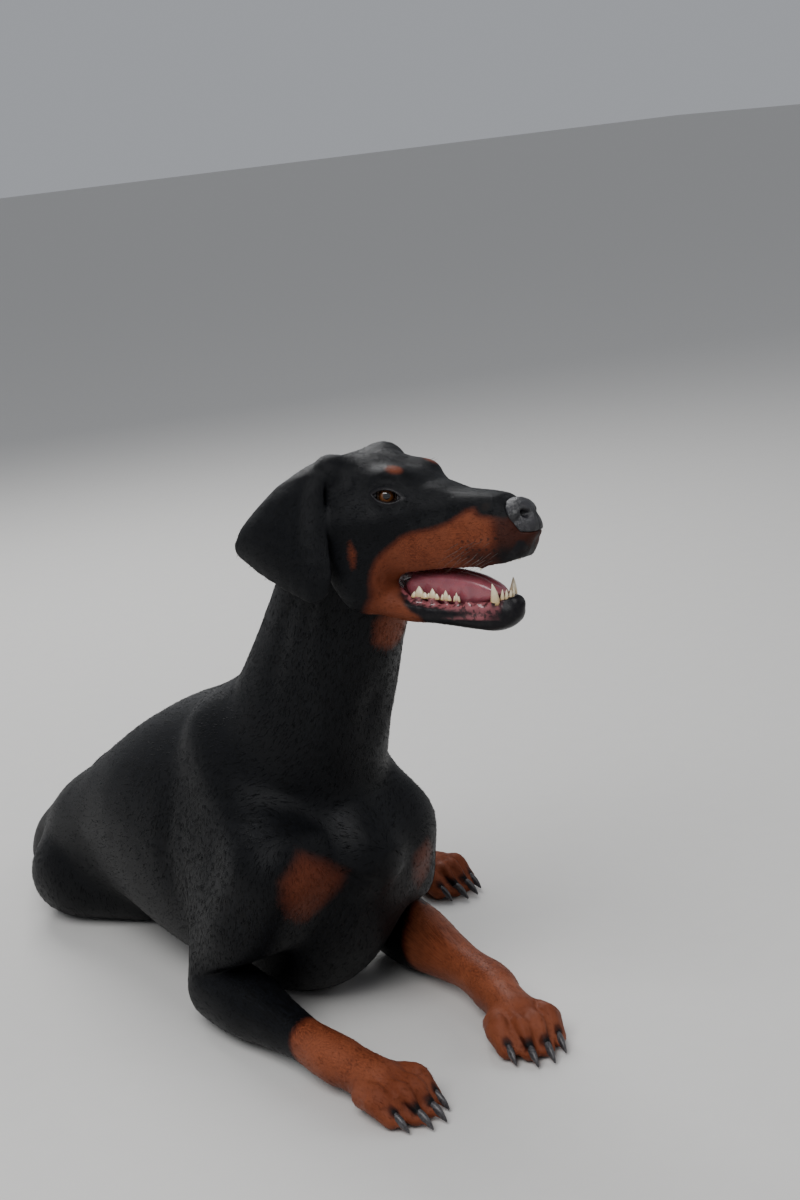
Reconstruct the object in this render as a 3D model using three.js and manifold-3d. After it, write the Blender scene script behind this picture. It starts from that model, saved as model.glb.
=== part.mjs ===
// A doberman pinscher, life size, lying propped on its elbows with its hips rolled on to the right
// hip and both hind legs out to its left, head up and turned to its left, mouth open.
// Millimetres. X points to the dog's left, Y towards its tail and Z up, with the ground at z = 0.
// The origin is on the ground, midway between the elbows.
import * as THREE from 'three';
import { mergeVertices } from 'three/addons/utils/BufferGeometryUtils.js';
import { edgeTable, triTable } from 'three/addons/objects/MarchingCubes.js';
import Module from 'manifold-3d';

const wasm = await Module();
wasm.setup();

// Driving dimensions
const GAP = 0.3;
const WITHERS = 372;
const CHEST_HALF_WIDTH = 128;
const NECK_HALF_WIDTH = 62;
const NOSE = [57, -421, 598];
const HEAD_TURN = 14.37;
const HEAD_LIFT = 0.39;
const HEAD_ROLL = -3.42;
const EYE_RADIUS = 11.5;
const EYE = [-161, 29.5, 13];
const EAR_THICKNESS = 4;
const PAW_HALF_WIDTH = 33;
const CLAW_LENGTH = 12;
const ELBOW = { right: [-122, -2, 42], left: [120, -4, 42] };
const SHOULDER = { right: [-96, -112, 205], left: [66, -104, 205] };
const WRIST = { right: [-126, -222, 34], left: [96, -214, 34] };
const TOES = { right: [-108, -372, 12], left: [50, -356, 12] };
const HIP = { right: [-66, 405, 72], left: [10, 408, 138] };
const KNEE = { right: [62, 245, 52], left: [140, 272, 146] };
const HOCK = { right: [262, 272, 30], left: [238, 432, 32] };
const HIND_TOES = { right: [282, 60, 12], left: [300, 235, 12] };
const TAIL_PATH = [
  [-62, 470, 120],
  [-62, 520, 88],
  [-50, 575, 42],
  [-15, 635, 18],
  [55, 690, 13],
  [135, 720, 9],
];
const TAIL_RADIUS = { root: 25, tip: 7 };
const HAM = { behind: 18, wide: 72, thick: 46, long: 0.6 };
const CALF_BEHIND = 18;
const INCISOR_HEIGHT = { lower: 9, upper: 8 };
const CANINE_HEIGHT = { lower: 22, upper: 18 };

// Size of the net's cells and number of faces for each form
const NET = {
  body: [9, 2600],
  forearm: [6, 460],
  paw: [3, 860],
  thigh: [7, 460],
  shank: [6, 400],
  hindFoot: [3.5, 640],
  tail: [5, 280],
  head: [2.8, 4100],
  tongue: [2.5, 260],
};

// Colours of the coat and skin
const BLACK = 0x16161a;
const RUST = 0x93491d;
const PINK = 0xb9646a;
const AMBER = 0x4a2410;

const add = (a, b) => [a[0] + b[0], a[1] + b[1], a[2] + b[2]];
const sub = (a, b) => [a[0] - b[0], a[1] - b[1], a[2] - b[2]];
const scale = (a, s) => [a[0] * s, a[1] * s, a[2] * s];
const dot = (a, b) => a[0] * b[0] + a[1] * b[1] + a[2] * b[2];
const cross = (a, b) => [a[1] * b[2] - a[2] * b[1], a[2] * b[0] - a[0] * b[2], a[0] * b[1] - a[1] * b[0]];
const size = (a) => Math.hypot(a[0], a[1], a[2]);
const unit = (a) => scale(a, 1 / size(a));
const mix = (a, b, t) => a + (b - a) * t;
const mixPoint = (a, b, t) => [mix(a[0], b[0], t), mix(a[1], b[1], t), mix(a[2], b[2], t)];
const radians = THREE.MathUtils.degToRad;

// Forms: each has a distance function, a ball that bounds it, and the width over which it blends.

// A limb or muscle that tapers between two balls.
function taper(a, b, radiusA, radiusB, blend = 12) {
  const axis = sub(b, a);
  const length2 = dot(axis, axis);
  const fall = radiusA - radiusB;
  const slope2 = length2 - fall * fall;
  const distance = (x, y, z) => {
    const p = [x - a[0], y - a[1], z - a[2]];
    const along = dot(p, axis);
    const past = along - length2;
    const side = sub(scale(p, length2), scale(axis, along));
    const side2 = dot(side, side);
    const along2 = along * along * length2;
    const past2 = past * past * length2;
    const cone = Math.sign(fall) * fall * fall * side2;
    if (Math.sign(past) * slope2 * past2 > cone) return Math.sqrt(side2 + past2) / length2 - radiusB;
    if (Math.sign(along) * slope2 * along2 < cone) return Math.sqrt(side2 + along2) / length2 - radiusA;
    return (Math.sqrt(side2 * slope2 / length2) + along * fall) / length2 - radiusA;
  };
  const reach = Math.sqrt(length2) / 2 + Math.max(radiusA, radiusB);
  return { distance, blend, centre: mixPoint(a, b, 0.5), reach };
}

// An ellipsoid with its own axes; the long axis may point anywhere.
function blob(centre, radii, blend = 12, axes = [[1, 0, 0], [0, 1, 0], [0, 0, 1]]) {
  const [rx, ry, rz] = radii;
  const distance = (x, y, z) => {
    const p = [x - centre[0], y - centre[1], z - centre[2]];
    const a = dot(p, axes[0]);
    const b = dot(p, axes[1]);
    const c = dot(p, axes[2]);
    const k0 = Math.hypot(a / rx, b / ry, c / rz);
    const k1 = Math.hypot(a / (rx * rx), b / (ry * ry), c / (rz * rz));
    return k1 > 0 ? k0 * (k0 - 1) / k1 : -Math.min(rx, ry, rz);
  };
  return { distance, blend, centre, reach: Math.max(rx, ry, rz) };
}

// A smooth curve between b and c, with a before and d after them.
function catmull(a, b, c, d, t) {
  const bend = 2 * a - 5 * b + 4 * c - d + t * (3 * (b - c) + d - a);
  return b + 0.5 * t * (c - a + t * bend);
}

// A body drawn through stations. Each station is a centre, half width, rise above and drop below
// the centre, roundness (2 is an ellipse) and roll in degrees. up says which way its rise points.
function loft(stations, up, blend = 12, steps = 3) {
  const rows = stations.map((s) => [...s.at, s.half, s.rise, s.drop, s.round ?? 2, s.roll ?? 0]);
  const samples = [];
  for (let i = 0; i < rows.length - 1; i += 1) {
    const four = [rows[Math.max(i - 1, 0)], rows[i], rows[i + 1], rows[Math.min(i + 2, rows.length - 1)]];
    for (let j = 0; j < steps; j += 1) {
      samples.push(four[1].map((_, k) => catmull(four[0][k], four[1][k], four[2][k], four[3][k], j / steps)));
    }
  }
  samples.push(rows[rows.length - 1]);
  const frames = samples.map((row, i) => {
    const before = samples[Math.max(i - 1, 0)];
    const after = samples[Math.min(i + 1, samples.length - 1)];
    const along = unit(sub(after, before));
    const across = unit(cross(along, up));
    const rise = cross(across, along);
    const roll = radians(row[7]);
    const side = add(scale(across, Math.cos(roll)), scale(rise, Math.sin(roll)));
    const over = add(scale(rise, Math.cos(roll)), scale(across, -Math.sin(roll)));
    return { along, side, over };
  });
  const segments = samples.slice(1).map((b, i) => {
    const a = samples[i];
    const axis = sub(b, a);
    return { a, axis, inverse: 1 / dot(axis, axis), i };
  });
  const distance = (x, y, z) => {
    let best = Infinity;
    let place = 0;
    for (const { a, axis, inverse, i } of segments) {
      const px = x - a[0];
      const py = y - a[1];
      const pz = z - a[2];
      const t = Math.min(Math.max((px * axis[0] + py * axis[1] + pz * axis[2]) * inverse, 0), 1);
      const ex = px - axis[0] * t;
      const ey = py - axis[1] * t;
      const ez = pz - axis[2] * t;
      const near = ex * ex + ey * ey + ez * ez;
      if (near < best) {
        best = near;
        place = i + t;
      }
    }
    const i = Math.min(Math.floor(place), samples.length - 2);
    const t = place - i;
    const row = samples[i].map((v, k) => mix(v, samples[i + 1][k], t));
    const side = unit(mixPoint(frames[i].side, frames[i + 1].side, t));
    const over = unit(mixPoint(frames[i].over, frames[i + 1].over, t));
    const p = [x - row[0], y - row[1], z - row[2]];
    const s = dot(p, side);
    const v = dot(p, over);
    const end = dot(p, cross(side, over));
    const half = row[3];
    const high = v > 0 ? row[4] : row[5];
    const n = row[6];
    const power = Math.pow(Math.abs(s) / half, n) + Math.pow(Math.abs(v) / high, n);
    const q = Math.pow(power, 1 / n);
    const cap = Math.min(half, high);
    const k0 = Math.hypot(q, end / cap);
    const slopeS = Math.pow(Math.abs(s) / half, n - 1) / half;
    const slopeV = Math.pow(Math.abs(v) / high, n - 1) / high;
    const flat = q > 1e-6 ? Math.pow(q, 1 - n) * Math.hypot(slopeS, slopeV) : 1 / cap;
    const k1 = Math.hypot(q * flat, Math.abs(end) / (cap * cap)) / Math.max(k0, 1e-6);
    return (k0 - 1) / Math.max(k1, 1e-6);
  };
  const centre = [0, 1, 2].map((k) => samples.reduce((sum, row) => sum + row[k], 0) / samples.length);
  const reaches = samples.map((row) => {
    const out = Math.hypot(row[3], Math.max(row[4], row[5]));
    return size(sub(row, centre)) + out;
  });
  const reach = Math.max(...reaches);
  return { distance, blend, centre, reach };
}

// The same form, taken away instead of added.
const hollow = (form) => ({ ...form, hollow: true });

// The same forms seen from another frame.
function placed(forms, frame) {
  return forms.map((form) => ({
    ...form,
    centre: frame.toLocal(form.centre),
    distance: (x, y, z) => form.distance(...frame.toWorld([x, y, z])),
  }));
}

// One smooth surface over all the forms: negative inside, positive outside.
function field(forms) {
  return (x, y, z) => {
    let value = 1e3;
    for (const { distance, blend, centre, reach, hollow: taken } of forms) {
      const near = Math.hypot(x - centre[0], y - centre[1], z - centre[2]) - reach;
      if (taken) {
        if (near < blend - value) {
          const other = -distance(x, y, z);
          const h = Math.max(blend - Math.abs(value - other), 0) / blend;
          value = Math.max(value, other) + h * h * blend * 0.25;
        }
      } else if (near < value + blend) {
        const other = distance(x, y, z);
        const h = Math.max(blend - Math.abs(value - other), 0) / blend;
        value = Math.min(value, other) - h * h * blend * 0.25;
      }
    }
    return value;
  };
}

// Marching cubes
const CORNERS = [[0, 0, 0], [1, 0, 0], [1, 1, 0], [0, 1, 0], [0, 0, 1], [1, 0, 1], [1, 1, 1], [0, 1, 1]];
const RINGS = [[0, 1], [1, 2], [3, 2], [0, 3], [4, 5], [5, 6], [7, 6], [4, 7]];
const EDGES = [...RINGS, [0, 4], [1, 5], [2, 6], [3, 7]];
const BLOCK = 4;

function surface(value, low, high, cell) {
  const count = [0, 1, 2].map((k) => Math.ceil((high[k] - low[k]) / cell / BLOCK) * BLOCK + 1);
  const [nx, ny, nz] = count;
  const grid = new Float32Array(nx * ny * nz).fill(NaN);
  const at = (i, j, k) => (k * ny + j) * nx + i;
  const spot = (i, j, k) => [low[0] + i * cell, low[1] + j * cell, low[2] + k * cell];
  const far = BLOCK * cell * 1.6;
  const busy = [];
  for (let k = 0; k < nz - 1; k += BLOCK) {
    for (let j = 0; j < ny - 1; j += BLOCK) {
      for (let i = 0; i < nx - 1; i += BLOCK) {
        const middle = value(...spot(i + BLOCK / 2, j + BLOCK / 2, k + BLOCK / 2));
        const outer = [i, j, k].some((n, axis) => n === 0 || n + BLOCK === count[axis] - 1);
        if (middle < far && (outer || middle > -far)) busy.push([i, j, k]);
      }
    }
  }
  const edgeOf = (n, k) => n === 0 || n === count[k] - 1;
  for (const [i0, j0, k0] of busy) {
    for (let k = k0; k <= k0 + BLOCK; k += 1) {
      for (let j = j0; j <= j0 + BLOCK; j += 1) {
        for (let i = i0; i <= i0 + BLOCK; i += 1) {
          const n = at(i, j, k);
          if (!Number.isNaN(grid[n])) continue;
          const raw = value(...spot(i, j, k));
          grid[n] = edgeOf(i, 0) || edgeOf(j, 1) || edgeOf(k, 2) ? Math.max(raw, cell * 0.2) : raw;
        }
      }
    }
  }
  const points = [];
  const faces = [];
  const known = new Map();
  for (const [i0, j0, k0] of busy) {
    for (let k = k0; k < k0 + BLOCK; k += 1) {
      for (let j = j0; j < j0 + BLOCK; j += 1) {
        for (let i = i0; i < i0 + BLOCK; i += 1) {
          let code = 0;
          CORNERS.forEach(([a, b, c], n) => {
            if (grid[at(i + a, j + b, k + c)] < 0) code |= 1 << n;
          });
          if (!edgeTable[code]) continue;
          const corner = (edge) => {
            const [p, q] = EDGES[edge];
            const [a, b, c] = CORNERS[p];
            const [d, e, f] = CORNERS[q];
            const first = at(i + a, j + b, k + c);
            const last = at(i + d, j + e, k + f);
            const key = first * 3 + (d - a ? 0 : e - b ? 1 : 2);
            if (!known.has(key)) {
              const t = Math.min(Math.max(grid[first] / (grid[first] - grid[last]), 0.05), 0.95);
              known.set(key, points.length);
              points.push(mixPoint(spot(i + a, j + b, k + c), spot(i + d, j + e, k + f), t));
            }
            return known.get(key);
          };
          for (let n = code * 16; triTable[n] !== -1; n += 3) {
            faces.push([corner(triTable[n]), corner(triTable[n + 2]), corner(triTable[n + 1])]);
          }
        }
      }
    }
  }
  return { points, faces };
}

// Thinning: edges are folded away in order of the harm they do, until few enough faces are left.
function thin({ points, faces }, target) {
  const pts = points.map((p) => [...p]);
  const tris = faces.map((f) => [...f]);
  const around = pts.map(() => new Set());
  const quadrics = pts.map(() => new Float64Array(10));
  const faceNormal = (f, move = -1, to = null) => {
    const [a, b, c] = f.map((v) => (v === move ? to : pts[v]));
    return cross(sub(b, a), sub(c, a));
  };
  const spread = (q, n, d, w) => {
    const v = [n[0], n[1], n[2], d];
    let m = 0;
    for (let i = 0; i < 4; i += 1) {
      for (let j = i; j < 4; j += 1) {
        q[m] += w * v[i] * v[j];
        m += 1;
      }
    }
  };
  tris.forEach((f, n) => {
    const normal = faceNormal(f);
    const area = size(normal);
    for (const v of f) around[v].add(n);
    if (area < 1e-9) return;
    const flat = scale(normal, 1 / area);
    for (const v of f) {
      spread(quadrics[v], flat, -dot(flat, pts[f[0]]), area);
      for (let k = 0; k < 3; k += 1) {
        const axis = [0, 0, 0];
        axis[k] = 1;
        spread(quadrics[v], axis, -pts[v][k], area * 0.002);
      }
    }
  });
  const harm = (q, p) => {
    const v = [p[0], p[1], p[2], 1];
    let sum = 0;
    let m = 0;
    for (let i = 0; i < 4; i += 1) {
      for (let j = i; j < 4; j += 1) {
        sum += (i === j ? 1 : 2) * q[m] * v[i] * v[j];
        m += 1;
      }
    }
    return sum;
  };
  const bestPoint = (q, a, b) => {
    const m = new THREE.Matrix3().set(q[0], q[1], q[2], q[1], q[4], q[5], q[2], q[5], q[7]);
    const det = m.determinant();
    const middle = mixPoint(a, b, 0.5);
    if (Math.abs(det) < 1e-9) return middle;
    const p = new THREE.Vector3(-q[3], -q[6], -q[8]).applyMatrix3(m.invert()).toArray();
    return size(sub(p, middle)) < 1.5 * size(sub(a, b)) ? p : middle;
  };
  const heap = [];
  const stamp = new Int32Array(pts.length);
  const push = (item) => {
    let n = heap.push(item) - 1;
    while (n > 0) {
      const up = (n - 1) >> 1;
      if (heap[up].cost <= item.cost) break;
      heap[n] = heap[up];
      n = up;
    }
    heap[n] = item;
  };
  const pop = () => {
    const top = heap[0];
    const item = heap.pop();
    if (heap.length) {
      let n = 0;
      for (;;) {
        let child = 2 * n + 1;
        if (child >= heap.length) break;
        if (child + 1 < heap.length && heap[child + 1].cost < heap[child].cost) child += 1;
        if (heap[child].cost >= item.cost) break;
        heap[n] = heap[child];
        n = child;
      }
      heap[n] = item;
    }
    return top;
  };
  const neighbours = (v) => {
    const found = new Set();
    for (const n of around[v]) for (const w of tris[n]) if (w !== v) found.add(w);
    return found;
  };
  const offer = (a, b) => {
    const q = quadrics[a].map((v, i) => v + quadrics[b][i]);
    const p = bestPoint(q, pts[a], pts[b]);
    push({ cost: harm(q, p), a, b, p, when: stamp[a] + stamp[b] });
  };
  pts.forEach((_, v) => neighbours(v).forEach((w) => v < w && offer(v, w)));
  let left = tris.length;
  while (left > target && heap.length) {
    const { a, b, p, when } = pop();
    if (stamp[a] < 0 || stamp[b] < 0 || stamp[a] + stamp[b] !== when) continue;
    const nearA = neighbours(a);
    const nearB = neighbours(b);
    if (!nearA.has(b)) continue;
    let shared = 0;
    for (const v of nearA) if (nearB.has(v)) shared += 1;
    if (shared !== 2) continue;
    const turns = (v, other) => {
      for (const n of around[v]) {
        if (tris[n].includes(other)) continue;
        const before = faceNormal(tris[n]);
        const after = faceNormal(tris[n], v, p);
        if (dot(before, after) <= 0.25 * size(before) * size(after)) return true;
      }
      return false;
    };
    if (turns(a, b) || turns(b, a)) continue;
    for (const n of [...around[b]]) {
      if (tris[n].includes(a)) {
        for (const v of tris[n]) around[v].delete(n);
        tris[n] = null;
        left -= 1;
      } else {
        tris[n] = tris[n].map((v) => (v === b ? a : v));
        around[a].add(n);
      }
    }
    pts[a] = p;
    quadrics[a] = quadrics[a].map((v, i) => v + quadrics[b][i]);
    stamp[b] = -1e9;
    stamp[a] += 1e3;
    neighbours(a).forEach((v) => offer(a, v));
  }
  return { points: pts, faces: tris.filter(Boolean) };
}

// Solids
function solidOf({ points, faces }) {
  const used = new Map();
  const vertProperties = [];
  const triVerts = [];
  for (const f of faces) {
    for (const v of f) {
      if (!used.has(v)) {
        used.set(v, used.size);
        vertProperties.push(...points[v]);
      }
      triVerts.push(used.get(v));
    }
  }
  const mesh = new wasm.Mesh({
    numProp: 3,
    vertProperties: new Float32Array(vertProperties),
    triVerts: new Uint32Array(triVerts),
  });
  return new wasm.Manifold(mesh);
}

function meshOf(solid) {
  const mesh = solid.getMesh();
  const points = [];
  const faces = [];
  for (let v = 0; v < mesh.numVert; v += 1) {
    points.push([...mesh.vertProperties.slice(v * mesh.numProp, v * mesh.numProp + 3)]);
  }
  for (let n = 0; n < mesh.numTri; n += 1) faces.push([...mesh.triVerts.slice(n * 3, n * 3 + 3)]);
  return { points, faces };
}

function geometryOf({ points, faces }) {
  const geometry = new THREE.BufferGeometry();
  geometry.setAttribute('position', new THREE.Float32BufferAttribute(points.flat(), 3));
  geometry.setIndex(faces.flat());
  return geometry;
}

function fromGeometry(geometry) {
  geometry.deleteAttribute('normal');
  geometry.deleteAttribute('uv');
  const merged = mergeVertices(geometry, 1e-4);
  const points = [];
  const faces = [];
  for (let v = 0; v < merged.attributes.position.count; v += 1) {
    points.push(new THREE.Vector3().fromBufferAttribute(merged.attributes.position, v).toArray());
  }
  for (let n = 0; n < merged.index.count; n += 3) faces.push([...merged.index.array.slice(n, n + 3)]);
  return { points, faces };
}

// The largest closed surface of a solid.
function largest(solid) {
  return solid.decompose().sort((a, b) => b.volume() - a.volume())[0];
}

// A solid with its whole surface moved out by a small distance.
function grown(solid, distance) {
  const mesh = meshOf(solid);
  const touching = mesh.points.map(() => []);
  for (const f of mesh.faces) {
    const [a, b, c] = f.map((v) => mesh.points[v]);
    const normal = cross(sub(b, a), sub(c, a));
    if (size(normal) < 1e-6) continue;
    f.forEach((v, n) => {
      const before = unit(sub(mesh.points[f[(n + 2) % 3]], mesh.points[v]));
      const after = unit(sub(mesh.points[f[(n + 1) % 3]], mesh.points[v]));
      const angle = Math.acos(Math.min(Math.max(dot(before, after), -1), 1));
      touching[v].push({ normal: unit(normal), angle });
    });
  }
  const points = mesh.points.map((p, v) => {
    const sum = touching[v].reduce((total, { normal, angle }) => add(total, scale(normal, angle)), [0, 0, 0]);
    const way = unit(size(sum) > 0 ? sum : [0, 0, 1]);
    const least = Math.min(...touching[v].map(({ normal }) => dot(normal, way)));
    return add(p, scale(way, distance / Math.max(least, 0.3)));
  });
  return solid.add(solidOf({ points, faces: mesh.faces }));
}

// Everything on the far side of a plane, as a big block whose face lies on the plane.
const BLOCK_SIZE = 1600;
function beyond(point, normal, offset = 0) {
  const geometry = new THREE.BoxGeometry(BLOCK_SIZE, BLOCK_SIZE, BLOCK_SIZE);
  const direction = new THREE.Vector3(...normal).normalize();
  const turn = new THREE.Quaternion().setFromUnitVectors(new THREE.Vector3(0, 0, 1), direction);
  geometry.translate(0, 0, BLOCK_SIZE / 2 + offset);
  geometry.applyQuaternion(turn);
  geometry.translate(...point);
  return solidOf(fromGeometry(geometry));
}

const opposite = (normal) => scale(normal, -1);
const above = (solid, point, normal) => solid.intersect(beyond(point, normal, GAP / 2));
const below = (solid, point, normal) => solid.intersect(beyond(point, opposite(normal), GAP / 2));

// The head's own frame: h runs forward from the tip of the nose, l to the left and u up.
const turn = radians(HEAD_TURN);
const lift = radians(HEAD_LIFT);
const tilt = radians(HEAD_ROLL);
const forward = [Math.sin(turn) * Math.cos(lift), -Math.cos(turn) * Math.cos(lift), Math.sin(lift)];
const level = [Math.cos(turn), Math.sin(turn), 0];
const upright = cross(level, forward).map((v) => -v);
const leftward = add(scale(level, Math.cos(tilt)), scale(upright, Math.sin(tilt)));
const upward = add(scale(level, -Math.sin(tilt)), scale(upright, Math.cos(tilt)));
const headFrame = {
  toWorld: (p) => add(NOSE, add(scale(forward, p[0]), add(scale(leftward, p[1]), scale(upward, p[2])))),
  toLocal: (p) => {
    const q = sub(p, NOSE);
    return [dot(q, forward), dot(q, leftward), dot(q, upward)];
  },
};

// Neck and trunk
function neckForms() {
  return [
    loft([
      { at: [0, 10, 235], half: 96, rise: 100, drop: 120 },
      { at: [0, -62, 330], half: 84, rise: 102, drop: 98 },
      { at: [1, -112, 410], half: NECK_HALF_WIDTH + 6, rise: 94, drop: 82 },
      { at: [4, -158, 490], half: NECK_HALF_WIDTH, rise: 88, drop: 74 },
      { at: [8, -190, 555], half: NECK_HALF_WIDTH - 4, rise: 72, drop: 66 },
      { at: [10, -205, 590], half: NECK_HALF_WIDTH - 10, rise: 50, drop: 50 },
    ], [0, 1, 0.2], 40),
  ];
}

function trunkForms() {
  const wide = CHEST_HALF_WIDTH;
  return [
    loft([
      { at: [0, -140, 205], half: wide * 0.36, rise: 50, drop: 52 },
      { at: [0, -110, 195], half: wide * 0.6, rise: 95, drop: 90 },
      { at: [0, -70, 182], half: wide * 0.76, rise: 150, drop: 128 },
      { at: [0, -30, 172], half: wide * 0.84, rise: 186, drop: 158 },
      { at: [0, 20, 166], half: wide * 0.9, rise: WITHERS - 166, drop: 171 },
      { at: [0, 80, 162], half: wide * 0.96, rise: 194, drop: 168 },
      { at: [-2, 150, 156], half: wide * 0.98, rise: 176, drop: 160, roll: 3 },
      { at: [-7, 220, 148], half: wide * 0.93, rise: 151, drop: 142, roll: 8 },
      { at: [-14, 290, 136], half: wide * 0.8, rise: 123, drop: 112, roll: 18 },
      { at: [-23, 350, 122], half: wide * 0.7, rise: 100, drop: 86, roll: 32 },
      { at: [-33, 410, 108], half: wide * 0.64, rise: 84, drop: 72, roll: 42 },
      { at: [-42, 462, 96], half: wide * 0.5, rise: 60, drop: 58, roll: 48 },
      { at: [-46, 495, 90], half: wide * 0.28, rise: 32, drop: 32, roll: 50 },
    ], [0, 0, 1], 30),
  ];
}

function upperArmForms(name) {
  const side = Math.sign(ELBOW[name][0]);
  const shoulder = SHOULDER[name];
  const elbow = ELBOW[name];
  return [
    taper([side * 54, 36, 318], add(shoulder, [side * -6, 12, -4]), 36, 48, 40),
    taper(shoulder, mixPoint(shoulder, elbow, 0.45), 49, 46, 30),
    taper(add(shoulder, [side * -14, 96, -15]), add(elbow, [side * -10, 8, 34]), 47, 36, 34),
    taper(mixPoint(shoulder, elbow, 0.4), elbow, 43, 34, 24),
  ];
}

function forearmForms(name) {
  const elbow = ELBOW[name];
  const wrist = WRIST[name];
  const point = add(elbow, [0, 26, -4]);
  return [
    taper(point, elbow, 17, 34, 14),
    taper(elbow, mixPoint(elbow, wrist, 0.34), 37, 35, 14),
    taper(mixPoint(elbow, wrist, 0.2), mixPoint(elbow, wrist, 0.62), 34, 25, 20),
    taper(mixPoint(elbow, wrist, 0.55), wrist, 24, 23, 16),
    blob(wrist, [26, 30, 24], 12),
  ];
}

// A paw that lies flat: the instep, four arched toes and their claws, fanned from heel to toes.
function pawForms(heel, tip, wide, heelRadius) {
  const ahead = unit([tip[0] - heel[0], tip[1] - heel[1], 0]);
  const across = [-ahead[1], ahead[0], 0];
  const reach = Math.hypot(tip[0] - heel[0], tip[1] - heel[1]);
  const at = (along, off, high) => [
    heel[0] + ahead[0] * along + across[0] * off,
    heel[1] + ahead[1] * along + across[1] * off,
    high,
  ];
  const knuckle = reach * 0.52;
  const forms = [
    taper(heel, at(knuckle, 0, 25), heelRadius, 24, 16),
    blob(at(knuckle, 0, 20), [wide * 0.8, wide * 0.8, 19], 14),
  ];
  [-1.5, -0.5, 0.5, 1.5].forEach((n) => {
    const outer = Math.abs(n) > 1;
    const toe = outer ? reach * 0.88 : reach * 0.98;
    const off = n * wide * 0.5;
    forms.push(taper(at(knuckle, off * 0.95, 22), at(toe - 32, off * 1.12, 25), 14, 13.5, 7));
    forms.push(taper(at(toe - 32, off * 1.12, 24), at(toe - 12, off * 1.14, 11.5), 13.5, 10.5, 6));
    const bend = at(toe + CLAW_LENGTH * 0.4, off * 1.14, 7.5);
    const point = at(toe + CLAW_LENGTH * 0.9, off * 1.14, 3);
    forms.push(taper(at(toe - 6, off * 1.14, 14), bend, 4.6, 3.2, 2));
    forms.push(taper(bend, point, 3.2, 1.5, 1));
  });
  forms.push(blob(at(knuckle + 8, 0, 12), [wide * 0.7, wide * 0.7, 13], 10));
  return forms;
}

// The way across a bone from a to b that leads towards a third point.
function towards(a, b, other) {
  const along = unit(sub(b, a));
  const way = sub(other, a);
  return unit(sub(way, scale(along, dot(way, along))));
}

// A thigh: the long muscles from hip to knee, and the broad flat ham behind them.
function thighForms(name) {
  const hip = HIP[name];
  const knee = KNEE[name];
  const back = name === 'right' ? [-4, 40, -18] : [20, 40, 0];
  const along = unit(sub(knee, hip));
  const behind = towards(hip, knee, HOCK[name]);
  const ham = add(mixPoint(hip, knee, 0.48), scale(behind, HAM.behind));
  const radii = [size(sub(knee, hip)) * HAM.long, HAM.wide, HAM.thick];
  return [
    taper(hip, mixPoint(hip, knee, 0.5), 68, 58, 34),
    taper(mixPoint(hip, knee, 0.4), knee, 58, 42, 26),
    taper(add(hip, back), mixPoint(hip, knee, 0.62), 56, 44, 30),
    blob(ham, radii, 34, [along, behind, cross(along, behind)]),
  ];
}

// A shank: shin, calf and the cord that runs from the calf to the point of the hock.
function shankForms(name) {
  const knee = KNEE[name];
  const hock = HOCK[name];
  const behind = towards(knee, hock, HIP[name]);
  const calf = add(mixPoint(knee, hock, 0.14), scale(behind, CALF_BEHIND));
  const cord = add(mixPoint(knee, hock, 0.56), scale(behind, CALF_BEHIND));
  return [
    taper(knee, mixPoint(knee, hock, 0.45), 42, 34, 16),
    taper(mixPoint(knee, hock, 0.3), mixPoint(knee, hock, 0.75), 32, 21, 20),
    taper(mixPoint(knee, hock, 0.6), hock, 21, 21, 16),
    taper(calf, cord, 36, 16, 20),
    taper(cord, add(hock, scale(behind, CALF_BEHIND * 0.8)), 14, 12, 16),
    blob(hock, [23, 25, 22], 10),
  ];
}

function hindFootForms(name) {
  const hock = HOCK[name];
  const toes = HIND_TOES[name];
  const instep = mixPoint(hock, toes, 0.46);
  const heel = [instep[0], instep[1], 22];
  return [taper(hock, heel, 20, 18, 12), ...pawForms(heel, toes, PAW_HALF_WIDTH * 0.9, 18)];
}

// Head
const MUZZLE = [
  // h, top, bottom, half width
  [-14, 6, -30, 13],
  [-22, 11, -42, 20],
  [-34, 14.5, -53, 25],
  [-60, 16, -62, 29.5],
  [-98, 17.5, -69, 33],
  [-128, 21.5, -74, 39],
  [-152, 30, -75, 45],
];
const SKULL = [
  [-128, 20, -40, 33],
  [-150, 35, -50, 43],
  [-170, 43, -60, 50],
  [-195, 47, -66, 55],
  [-222, 45, -66, 54],
  [-248, 41, -50, 46],
  [-270, 37, -30, 32],
  [-281, 30, -10, 18],
];
const JAW = [
  // h, top, bottom, half width
  [-33, -84, -102, 9],
  [-40, -85, -114, 15],
  [-56, -88, -121, 20],
  [-84, -92, -119, 26],
  [-118, -92, -116, 33],
  [-152, -84, -116, 39],
  [-190, -62, -108, 46],
  [-215, -40, -96, 44],
];

const section = (round) => ([h, top, bottom, half]) => ({
  at: [h, 0, mix(bottom, top, 0.5)],
  half,
  rise: (top - bottom) / 2,
  drop: (top - bottom) / 2,
  round,
});

function upperHeadForms() {
  const forms = [
    loft(MUZZLE.map(section(2.9)), [0, 0, 1], 14, 4),
    loft(SKULL.map(section(2.5)), [0, 0, 1], 22, 4),
  ];
  for (const side of [1, -1]) {
    forms.push(blob([-158, side * 27, 31], [17, 13, 10], 12));
    forms.push(taper([-172, side * 47, -10], [-214, side * 56, -12], 12, 13, 16));
    forms.push(blob([-196, side * 42, -48], [36, 19, 46], 18));
    forms.push(taper([-222, side * 44, 36], [-240, side * 46, 20], 17, 15, 14));
  }
  return forms;
}

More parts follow.
